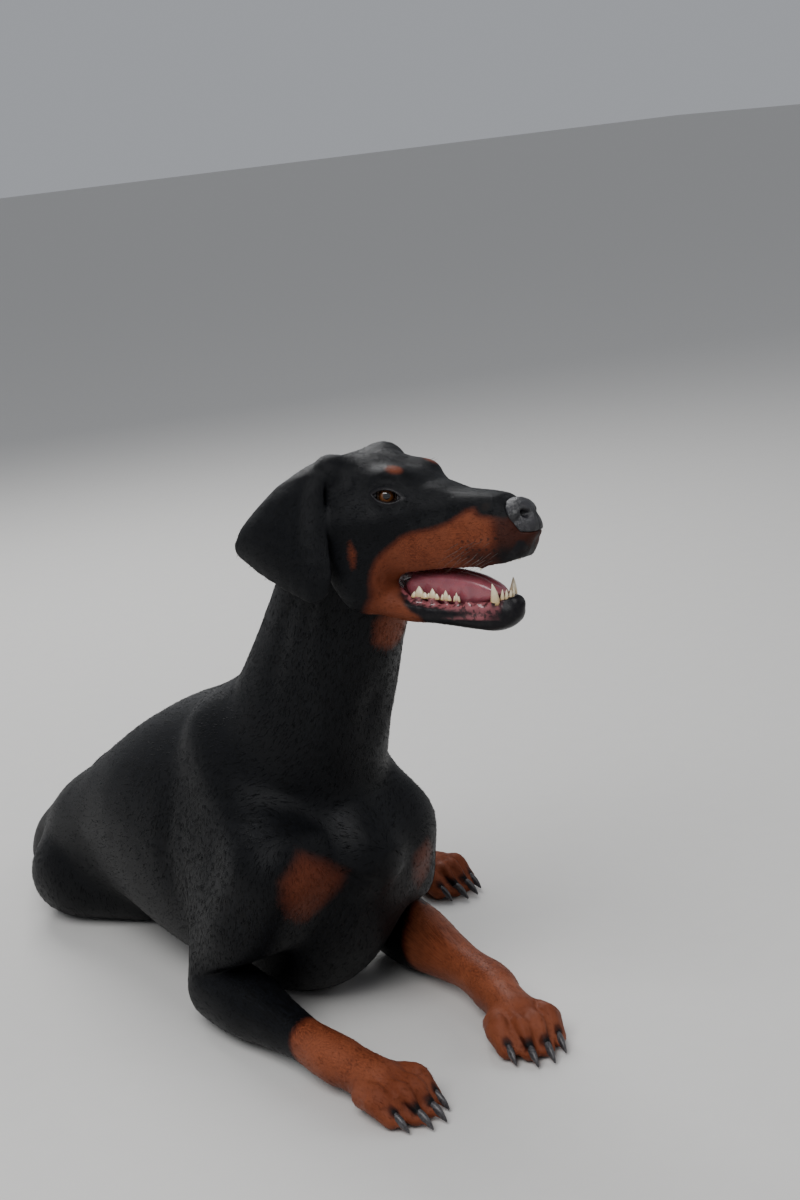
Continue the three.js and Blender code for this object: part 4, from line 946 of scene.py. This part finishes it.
class BuildSkin(bpy.types.Operator):
    """Makes one skin over all the flesh, with its folds, markings and lie of hair"""

    bl_idname = "dog.build_skin"
    bl_label = "Skin"

    def execute(self, context):
        look = context.scene.dog_coat
        mesh = merged_copy((*FLESH, "eye_right", "eye_left"), SKIN_OUT * MM)
        mesh = with_modifier(mesh, "REMESH", {"mode": "VOXEL", "voxel_size": look.voxel, "adaptivity": 0.0})
        points = points_of(mesh)
        edges = edges_of(mesh)
        on_head, on_paws = self.fine_places(points)
        amount = 0.5 - 0.4 * on_head
        amount = amount * (1 - on_paws) + 0.07 * on_paws
        set_points(mesh, relaxed(points, edges, amount, FIRST_ROUNDS))
        keep = np.clip(on_head + 0.6 * on_paws, 0, 1) * 0.9
        settings = {"ratio": min(1.0, SKIN_TRIANGLES / (2 * len(mesh.polygons))), "vertex_group": "keep",
                    "vertex_group_factor": 1e-4, "invert_vertex_group": True}
        mesh = with_modifier(mesh, "DECIMATE", settings, ("keep", keep))
        points = points_of(mesh)
        on_head, on_paws = self.fine_places(points)
        amount = 0.5 * (1 - on_head) * (1 - on_paws)
        set_points(mesh, relaxed(points, edges_of(mesh), amount, LAST_ROUNDS))
        self.refine(mesh)
        points = toothless(lidded(points_of(mesh)))
        set_points(mesh, points)
        points = folded(points, normals_of(mesh))
        points[:, 2] = np.maximum(points[:, 2], 0.0)
        set_points(mesh, points)
        owners = nearest_parts(points)
        normals = normals_of(mesh)
        lie = lie_of_hair(owners, normals, edges_of(mesh))
        head = to_head(points)
        mark(mesh, "rust", rust_marks(points, owners))
        mark(mesh, "leather", leather_marks(head))
        mark(mesh, "gum", gum_marks(head))
        mark(mesh, "pits", self.pit_marks(head))
        mark(mesh, "hair", points - lie * ((points * lie).sum(1) * 0.9)[:, None], "FLOAT_VECTOR")
        mark(mesh, "lie", lie, "FLOAT_VECTOR")
        self.keep_coat_plan(mesh, owners, unwrap(mesh, owners))
        skin = new_piece("skin", mesh, coat_material("short_coat"))
        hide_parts(*FLESH)
        return {"FINISHED"}

    def fine_places(self, points):
        """How far each point belongs to the head, and to a paw, 0 to 1."""
        h, _, u = to_head(points).T
        on_head = smooth_step(-340, -285, h) * smooth_step(-190, -120, u)
        on_paws = np.zeros(len(points))
        for paw in PAWS:
            heel, ahead, _, reach, _ = paw_axes(paw)
            gap = np.linalg.norm(points / MM - heel - ahead * reach * 0.62, axis=1)
            on_paws = np.maximum(on_paws, smooth_step(100, 72, gap))
        return on_head, on_paws

    def refine(self, mesh):
        """Splits the faces round the eyes twice, and those of the muzzle's sides once."""
        build = bmesh.new()
        build.from_mesh(mesh)
        for reach, muzzle in ((20, True), (17, False)):
            head = to_head(np.array([vert.co for vert in build.verts]))
            chosen = np.zeros(len(head), bool)
            for side in (1, -1):
                chosen |= np.linalg.norm(head - eye_axes(side)[0] - (4, side * 7, 0), axis=1) < reach
            if muzzle:
                h, l, u = head.T
                chosen |= (h > -82) & (h < -22) & (np.abs(l) > 14) & (u > -54) & (u < -14)
            build.verts.ensure_lookup_table()
            picked = {build.verts[n] for n in np.nonzero(chosen)[0]}
            edges = [edge for edge in build.edges if edge.verts[0] in picked and edge.verts[1] in picked]
            bmesh.ops.subdivide_edges(build, edges=edges, cuts=1, smooth=0.0)
            bmesh.ops.triangulate(build, faces=build.faces)
        build.to_mesh(mesh)
        build.free()

    def pit_marks(self, head):
        """Dark dots at the roots of the whiskers, and one larger spot high on each side."""
        pits = np.zeros(len(head))
        muzzle = np.nonzero((head[:, 0] > -90) & (head[:, 2] < 12) & (head[:, 2] > -60))[0]
        places = head[muzzle]
        for spot in whisker_rows():
            across = places - spot
            near = (np.sign(places[:, 1]) == np.sign(spot[1])) & (np.abs(across[:, 1]) < 12)
            dot = smooth_step(1.7, 0.8, np.hypot(across[:, 0], across[:, 2])) * near
            pits[muzzle] = np.maximum(pits[muzzle], dot * 0.85)
        for side in (1, -1):
            gap = np.linalg.norm(places - (-46, side * 22, 4), axis=1)
            pits[muzzle] = np.maximum(pits[muzzle], smooth_step(6.0, 2.5, gap) * 0.8)
        return pits

    def keep_coat_plan(self, mesh, owners, flat):
        """Keeps what the coat needs of the skin: its faces, their parts and their places on the map."""
        corners = np.empty(len(mesh.polygons) * 3, np.int32)
        mesh.polygons.foreach_get("vertices", corners)
        COAT_PLAN.update(mesh=mesh, corners=corners.reshape(-1, 3), owners=owners, flat=flat)


COAT_PLAN = {}

# Tufts: how deep a root is sunk, how far one turns from the hair's lie, and its patch of the map
ROOT_DEPTH = 0.0004
TUFT_TURN = 0.16
TUFT_PATCH = 0.003

# Coat pieces: the parts of the body that each covers, how long its tufts are against the body's,
# how wide they are in millimetres, and how far they stand up
COAT_PIECES = {
    "coat_head": (("head", "jaw", "ear_right", "ear_left"), 0.45, 0.4, 0.06),
    "coat_neck": (("neck", "upper_arm_right", "upper_arm_left"), 0.95, 0.55, 0.05),
    "coat_trunk": (("torso", "thigh_right", "thigh_left"), 1.0, 0.6, 0.05),
    "coat_legs": (("forearm_right", "forearm_left", "fore_paw_right", "fore_paw_left", "shank_right",
                   "shank_left", "hind_foot_right", "hind_foot_left", "tail"), 0.6, 0.45, 0.06),
}


class BuildCoat(bpy.types.Operator):
    """Makes the short tufts that break the outline of the coat"""

    bl_idname = "dog.build_coat"
    bl_label = "Coat"

    def execute(self, context):
        look = context.scene.dog_coat
        finish = coat_material("coat_tufts", tuft=True)
        for order, (name, (parts, long, wide, lift)) in enumerate(COAT_PIECES.items()):
            random = np.random.default_rng(SEED + order)
            mesh = self.tufts(random, parts, look.tufts, look.tuft_length * long, wide * MM, lift)
            new_piece(name, mesh, finish).data.name = name
        return {"FINISHED"}

    def attribute(self, name, width):
        """What the skin carries at its points under a name."""
        layer = COAT_PLAN["mesh"].attributes[name]
        values = np.empty(len(layer.data) * width, np.float32)
        layer.data.foreach_get("vector" if width == 3 else "value", values)
        return values.reshape(-1, width) if width == 3 else values

    def tufts(self, random, parts, count, length, width, lift):
        """A mesh of tufts, each a bent spike of seven points that lies along the hair from its root."""
        corners = COAT_PLAN["corners"]
        points = points_of(COAT_PLAN["mesh"])
        normals = normals_of(COAT_PLAN["mesh"])
        first, second, third = (points[corners[:, n]] for n in range(3))
        area = np.linalg.norm(np.cross(second - first, third - first), axis=1)
        bare = self.attribute("leather", 1) + self.attribute("gum", 1) + self.attribute("pits", 1)
        area *= np.isin(COAT_PLAN["owners"][corners[:, 0]], parts)
        area *= bare[corners].max(1) < 0.05
        area *= first[:, 2] > 0.004
        faces = random.choice(len(corners), count, p=area / area.sum())
        share = random.random((count, 2))
        share = np.where(share.sum(1)[:, None] > 1, 1 - share, share)
        weights = np.column_stack((1 - share.sum(1), share))
        picked = corners[faces]

        def blended(values):
            return (values[picked] * weights[:, :, None]).sum(1)

        root = blended(points)
        up = blended(normals)
        up /= np.linalg.norm(up, axis=1)[:, None]
        lie = blended(self.attribute("lie", 3))
        lie += np.cross(up, lie) * random.normal(0, TUFT_TURN, (count, 1))
        lie -= up * (lie * up).sum(1)[:, None]
        lie /= np.maximum(np.linalg.norm(lie, axis=1), 1e-6)[:, None]
        across = np.cross(up, lie)
        size = length * random.uniform(0.7, 1.25, (count, 1))
        rise = size * lift * random.uniform(0.6, 1.6, (count, 1))
        half = width * 0.5 * random.uniform(0.7, 1.2, (count, 1))
        sunk = root - up * ROOT_DEPTH
        ring = [sunk - across * half, sunk + across * half, sunk - up * half * 0.5 - lie * half]
        middle = root + lie * size * 0.5 + up * rise * 0.9
        ring += [middle - across * half * 0.8, middle + across * half * 0.8, middle - up * half * 0.7]
        tip = root + lie * size + up * rise * 0.8
        verts = np.stack((*ring, tip), axis=1)
        verts[:, :, 2] = np.maximum(verts[:, :, 2], 0.0003)
        pattern = np.array(((0, 2, 1), (0, 1, 4), (0, 4, 3), (1, 2, 5), (1, 5, 4), (2, 0, 3), (2, 3, 5),
                            (3, 4, 6), (4, 5, 6), (5, 3, 6)))
        tris = (pattern[None] + np.arange(count)[:, None, None] * 7).reshape(-1, 3)
        mesh = bpy.data.meshes.new("tufts")
        mesh.from_pydata(verts.reshape(-1, 3), [], tris)
        spread = np.array(((0, 0), (1, 0), (0.5, 0), (0.1, 0.5), (0.9, 0.5), (0.5, 0.5), (0.5, 1))) * TUFT_PATCH
        home = (COAT_PLAN["flat"][faces] * weights[:, :, None]).sum(1)
        flat = (home[:, None] + spread[None] - TUFT_PATCH / 2).reshape(-1, 2)[tris.ravel()]
        layer = mesh.uv_layers.new(name="OFBake")
        layer.data.foreach_set("uv", np.ascontiguousarray(flat, np.float32).ravel())
        rust = (self.attribute("rust", 1)[picked] * weights).sum(1)
        mark(mesh, "rust", np.repeat(rust, 7))
        base = root - lie * ((root * lie).sum(1) * 0.9)[:, None]
        shifts = np.array((0, 0, 0, 0.5, 0.5, 0.5, 1.0))[None, :, None] * lie[:, None] * size[:, None] * 0.1
        mark(mesh, "hair", (base[:, None] + shifts).reshape(-1, 3), "FLOAT_VECTOR")
        return mesh


class BuildWhiskers(bpy.types.Operator):
    """Makes the whiskers of the muzzle and the lashes of the brows"""

    bl_idname = "dog.build_whiskers"
    bl_label = "Whiskers"

    def execute(self, context):
        random = np.random.default_rng(SEED)
        net = Net("whisker_hair")
        tone = net.noise(net.place(), 60.0)
        colour = net.blend(tone.limited(0.4, 0.7), (0.010, 0.008, 0.008), (0.09, 0.07, 0.06))
        net.surface(base_color=colour, roughness=0.35 + tone * 0.1)
        build = bmesh.new()
        for spot in whisker_rows():
            side = np.sign(spot[1])
            way = np.array((-0.55, side * 0.75, -0.35)) + random.normal(0, 0.12, 3)
            self.hair(build, spot - (0, side * 1.5, 0), way, random.uniform(16, 30), 0.28)
        for side in (1, -1):
            for n in range(4):
                spot = np.array((-150 - n * 4, side * (27 + n), 37))
                way = np.array((0.5, side * 0.6, 0.6)) + random.normal(0, 0.15, 3)
                self.hair(build, spot, way, 14, 0.22)
        mesh = bpy.data.meshes.new("whiskers")
        build.to_mesh(mesh)
        build.free()
        new_piece("whiskers", mesh, net.material)
        return {"FINISHED"}

    def hair(self, build, root, way, length, radius):
        """One thin hair that bends back and down."""
        way = way / np.linalg.norm(way)
        bend = np.array((-0.3, 0, -0.5))
        rings = []
        for n in range(7):
            t = n / 6
            rings.append((root + way * length * t + bend * length * 0.5 * t * t, radius * (1 - 0.9 * t)))
        drawn(build, [(place, size, size) for place, size in rings], 5)


# The line of the left nostril in the head's frame
NOSTRIL = ((-8, 7, -4), (-14, 10.5, -3.5), (-20, 15, -7.5), (-23, 18, -11))


class BuildNose(bpy.types.Operator):
    """Makes the leather of the nose, with its nostrils"""

    bl_idname = "dog.build_nose"
    bl_label = "Nose"

    def execute(self, context):
        mesh = merged_copy(["nose"], 0.6 * MM)
        mesh = with_modifier(mesh, "REMESH", {"mode": "VOXEL", "voxel_size": 0.0008})
        edges = edges_of(mesh)
        points = relaxed(points_of(mesh), edges, 0.5, 14)
        head = to_head(points)
        h, l, u = head.T
        for side in (1, -1):
            path = np.array(NOSTRIL) * (1, side, 1)
            gap, along = line_distance(head, path)
            deep = np.exp(-(gap / (3.2 - 1.3 * along)) ** 2) * (4.6 - 2.4 * along)
            head[:, 0] -= deep
            head[:, 1] -= side * deep * 0.15
        head[:, 0] -= 1.6 * np.exp(-(l / 1.1) ** 2) * smooth_step(4, -3, u)
        set_points(mesh, from_head(head))
        nose = new_piece("nose_leather", mesh, nose_material())
        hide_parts("nose")
        return {"FINISHED"}


class BuildEyes(bpy.types.Operator):
    """Makes both eyeballs with their corneas"""

    bl_idname = "dog.build_eyes"
    bl_label = "Eyes"

    def execute(self, context):
        finish = eye_material()
        for name, side in (("right", -1), ("left", 1)):
            self.ball(name, *eye_axes(side), finish)
        return {"FINISHED"}

    def ball(self, name, centre, axes, finish):
        build = bmesh.new()
        bmesh.ops.create_uvsphere(build, u_segments=64, v_segments=48, radius=1.0)
        mesh = bpy.data.meshes.new("eyeball_" + name)
        build.to_mesh(mesh)
        build.free()
        unit = points_of(mesh)
        radius = EYE_RADIUS + CORNEA_RISE * smooth_step(0.72, 0.92, unit[:, 2])
        local = unit * radius[:, None]
        off = np.hypot(local[:, 0], local[:, 1])
        set_points(mesh, from_head(local @ axes + centre))
        ring = np.where(unit[:, 2] > 0, off, 20) * MM
        mark(mesh, "ring", ring)
        turn = np.arctan2(local[:, 1], local[:, 0])
        rays = np.stack([np.cos(turn), np.sin(turn), off * 0.02], axis=1)
        mark(mesh, "rays", rays, "FLOAT_VECTOR")
        eye = new_piece("eyeball_" + name, mesh, finish)
        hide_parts("eye_" + name)


# Tapering forms: whiskers, teeth and claws


def drawn(build, rings, sides, to_world=from_head, across=None):
    """A closed tapering form drawn through rings. Each ring is a centre and two radii."""
    centres = np.array([ring[0] for ring in rings], float)
    loop = None
    for n, (_, wide, deep) in enumerate(rings):
        along = centres[min(n + 1, len(rings) - 1)] - centres[max(n - 1, 0)]
        along /= np.linalg.norm(along)
        first = np.array((-1.0, 0, 0)) if across is None else across
        first = first - along * (first @ along)
        first /= np.linalg.norm(first)
        second = np.cross(along, first)
        if loop is None:
            loop = bmesh.ops.create_circle(build, cap_ends=True, segments=sides, radius=1.0)["verts"]
        else:
            made = bmesh.ops.extrude_edge_only(build, edges=list(loop_edges(loop)))["geom"]
            fresh = [item for item in made if isinstance(item, bmesh.types.BMVert)]
            partner = {}
            for vert in fresh:
                for edge in vert.link_edges:
                    other = edge.other_vert(vert)
                    if other in loop:
                        partner[other] = vert
            loop = [partner[vert] for vert in loop]
        for m, vert in enumerate(loop):
            turn = 2 * math.pi * m / sides
            vert.co = to_world(centres[n] + first * math.cos(turn) * deep + second * math.sin(turn) * wide)
    build.faces.new(loop)


def above_ground(place):
    """World millimetres to metres, kept just above the ground."""
    return np.array((place[0], place[1], max(place[2], 0.2))) * MM


def loop_edges(loop):
    """The edges of a closed row of points, in order."""
    for n, vert in enumerate(loop):
        after = loop[(n + 1) % len(loop)]
        yield next(edge for edge in vert.link_edges if edge.other_vert(vert) is after)


def tooth(build, root, tip, radius, flat=1.0, curve=0.0, rings=7, sides=12):
    """One tooth: a tapering, slightly bent cone whose point is round. flat squeezes it across."""
    root = np.array(root, float)
    tip = np.array(tip, float)
    length = np.linalg.norm(tip - root)
    places = []
    for n in range(rings + 1):
        t = n / rings
        swell = radius * (0.08 + 0.92 * (1 - t ** 1.7))
        bend = np.array((-curve * length * t * t, 0, 0))
        places.append((root + (tip - root) * t + bend, swell * flat, swell))
    before = len(build.verts)
    drawn(build, places, sides)
    build.verts.ensure_lookup_table()
    layer = build.verts.layers.float["root"]
    for n in range(before, len(build.verts)):
        place = to_head(np.array([build.verts[n].co]))[0]
        build.verts[n][layer] = 1 - np.clip((place - root) @ (tip - root) / length ** 2, 0, 1)


class BuildTeeth(bpy.types.Operator):
    """Makes the rows of teeth of both jaws"""

    bl_idname = "dog.build_teeth"
    bl_label = "Teeth"

    def execute(self, context):
        finish = tooth_material()
        for jaw, row in TEETH.items():
            build = bmesh.new()
            build.verts.layers.float.new("root")
            for side in (1, -1):
                turned = np.array((1, side, 1))
                for n in range(3):
                    base = tooth_root(jaw, "incisor", n) * turned
                    tooth(build, base, base + (1, 0, row["up"] * (10.5 + n * 0.6)), 2.5, 0.8)
                canine = np.array(row["canine"]) * turned
                tip = canine + (3, side * 3.5, row["up"] * row["long"])
                tooth(build, canine, tip, 5.2, 0.74, curve=0.14, rings=10, sides=16)
                for n, big in enumerate(row["sizes"]):
                    if big:
                        self.cheek_tooth(build, tooth_root(jaw, "cheek", n) * turned, row["up"], big, n > 1)
            bmesh.ops.recalc_face_normals(build, faces=build.faces)
            mesh = bpy.data.meshes.new("teeth_" + jaw)
            build.to_mesh(mesh)
            build.free()
            new_piece("teeth_" + jaw, mesh, finish)
        return {"FINISHED"}

    def cheek_tooth(self, build, base, up, big, shouldered):
        """A cheek tooth with its main point and, on all but the first two, a low point at each end."""
        tooth(build, base, base + (0, 0, up * (7.5 + 2.8 * big)), 4.6 * big, 0.5)
        if shouldered:
            for step in (-1, 1):
                low = base + (step * 4.4 * big, 0, 0)
                tooth(build, low, low + (0, 0, up * 6.0), 3.0 * big, 0.6, rings=4)


class BuildTongue(bpy.types.Operator):
    """Makes the tongue, with its middle groove"""

    bl_idname = "dog.build_tongue"
    bl_label = "Tongue"

    def execute(self, context):
        mesh = merged_copy(["tongue"], 0.2 * MM)
        mesh = with_modifier(mesh, "REMESH", {"mode": "VOXEL", "voxel_size": 0.0011})
        points = relaxed(points_of(mesh), edges_of(mesh), 0.5, 16)
        head = to_head(points)
        h, l, u = head.T
        top = smooth_step(-90, -82, u)
        head[:, 2] -= 1.8 * np.exp(-(l / 2.2) ** 2) * top * smooth_step(-48, -60, h)
        set_points(mesh, from_head(head))
        tongue = new_piece("tongue_flesh", mesh, tongue_material())
        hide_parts("tongue")
        return {"FINISHED"}


class BuildClaws(bpy.types.Operator):
    """Makes the claws of all four paws"""

    bl_idname = "dog.build_claws"
    bl_label = "Claws"

    def execute(self, context):
        finish = claw_material()
        for name in PAWS:
            build = bmesh.new()
            heel, ahead, across, _, _ = paw_axes(name)
            for toe, off in toe_rows(name):
                self.claw(build, heel + ahead * (toe - 11) + across * off * TOE_SPREAD, ahead)
            bmesh.ops.recalc_face_normals(build, faces=build.faces)
            mesh = bpy.data.meshes.new("claws_" + name)
            build.to_mesh(mesh)
            build.free()
            new_piece("claws_" + name, mesh, finish)
        return {"FINISHED"}

    def claw(self, build, base, ahead, rings=10, sides=14):
        """One claw, running forward and down from its base, and deeper than it is wide."""
        places = []
        for n in range(rings + 1):
            t = n / rings
            spot = base + ahead * (11 + CLAW_LENGTH) * t + (0, 0, 15 - t - 10.2 * t ** 2)
            thick = CLAW_RADIUS * (1 - 0.85 * t ** 2.8)
            places.append((spot, thick * 0.68, thick))
        drawn(build, places, sides, above_ground, np.array((0, 0, 1.0)))


class BuildStage(bpy.types.Operator):
    """Makes the pale floor, the soft lights and the camera"""

    bl_idname = "dog.build_stage"
    bl_label = "Stage"

    CAMERA_PLACE = Vector((-1.1323, -1.8542, 0.978))
    CAMERA_YAW = 0.6174
    CAMERA_PITCH = 0.2394
    CAMERA_ROLL = -0.1086
    LENS = 59.94
    FLOOR_HALF = 40.0
    SKY_COLOUR = (0.86, 0.89, 0.95, 1)
    SKY_STRENGTH = 0.42
    # Name, place, width and share of the main light's power
    LIGHTS = (
        ("key", (-1.9, -1.3, 3.0), 2.2, 1.0),
        ("fill", (2.8, -2.2, 1.8), 2.4, 0.22),
        ("rim", (0.9, 2.6, 2.6), 1.8, 0.75),
    )

    def execute(self, context):
        look = context.scene.dog_stage
        build = bmesh.new()
        bmesh.ops.create_grid(build, x_segments=1, y_segments=1, size=self.FLOOR_HALF)
        mesh = bpy.data.meshes.new("floor")
        build.to_mesh(mesh)
        build.free()
        floor = bpy.data.objects.new("floor", mesh)
        context.scene.collection.objects.link(floor)
        net = Net("floor_paper")
        grain = net.noise(net.place(), 30.0, 4.0)
        colour = net.blend(grain.limited(0.2, 0.8) * 0.12, tuple(look.floor), (0.5, 0.49, 0.47))
        net.surface(base_color=colour, roughness=0.85)
        mesh.materials.append(net.material)
        for name, place, size, share in self.LIGHTS:
            self.light(name, place, size, look.key * share, context)
        world = bpy.data.worlds.new("studio")
        world.use_nodes = True
        background = world.node_tree.nodes["Background"]
        background.inputs["Color"].default_value = self.SKY_COLOUR
        background.inputs["Strength"].default_value = self.SKY_STRENGTH
        context.scene.world = world
        self.camera(context)
        return {"FINISHED"}

    def light(self, name, place, size, power, context):
        data = bpy.data.lights.new(name, "AREA")
        data.size = size
        data.energy = power
        lamp = bpy.data.objects.new(name, data)
        lamp.location = place
        aim = Vector((0, 0, 0.3)) - Vector(place)
        lamp.rotation_euler = aim.to_track_quat("-Z", "Y").to_euler()
        context.scene.collection.objects.link(lamp)

    def camera(self, context):
        yaw, pitch, roll = self.CAMERA_YAW, self.CAMERA_PITCH, self.CAMERA_ROLL
        ahead = Vector((math.sin(yaw) * math.cos(pitch), math.cos(yaw) * math.cos(pitch), -math.sin(pitch)))
        level = Vector((math.cos(yaw), -math.sin(yaw), 0))
        upright = level.cross(ahead)
        right = level * math.cos(roll) + upright * math.sin(roll)
        up = upright * math.cos(roll) - level * math.sin(roll)
        data = bpy.data.cameras.new("camera")
        data.lens = self.LENS
        data.sensor_width = 36.0
        data.clip_end = 60.0
        camera = bpy.data.objects.new("camera", data)
        turn = Matrix((right, up, -ahead)).transposed().to_4x4()
        camera.matrix_world = Matrix.Translation(self.CAMERA_PLACE) @ turn
        context.scene.collection.objects.link(camera)
        context.scene.camera = camera


class DogPanel(bpy.types.Panel):
    """Lists the pieces and their settings"""

    bl_idname = "VIEW3D_PT_dog"
    bl_label = "Doberman pinscher"
    bl_space_type = "VIEW_3D"
    bl_region_type = "UI"
    bl_category = "Dog"

    def draw(self, context):
        for operator in STEPS:
            self.layout.operator(operator.bl_idname)
        for group in ("dog_coat", "dog_eye", "dog_mouth", "dog_stage"):
            settings = getattr(context.scene, group)
            for name in settings.__annotations__:
                self.layout.prop(settings, name)


STEPS = (
    BuildStage, BuildSkin, BuildCoat, BuildWhiskers, BuildNose, BuildEyes, BuildTeeth, BuildTongue,
    BuildClaws,
)
SETTINGS = (CoatSettings, EyeSettings, MouthSettings, StageSettings)


def register():
    for kind in (*SETTINGS, *STEPS, DogPanel):
        bpy.utils.register_class(kind)
    bpy.types.Scene.dog_coat = PointerProperty(type=CoatSettings)
    bpy.types.Scene.dog_eye = PointerProperty(type=EyeSettings)
    bpy.types.Scene.dog_mouth = PointerProperty(type=MouthSettings)
    bpy.types.Scene.dog_stage = PointerProperty(type=StageSettings)


def unregister():
    for name in ("dog_coat", "dog_eye", "dog_mouth", "dog_stage"):
        delattr(bpy.types.Scene, name)
    for kind in (DogPanel, *STEPS, *SETTINGS):
        bpy.utils.unregister_class(kind)


def main():
    register()
    for operator in STEPS:
        family, name = operator.bl_idname.split(".")
        getattr(getattr(bpy.ops, family), name)()


if __name__ == "__main__":
    main()
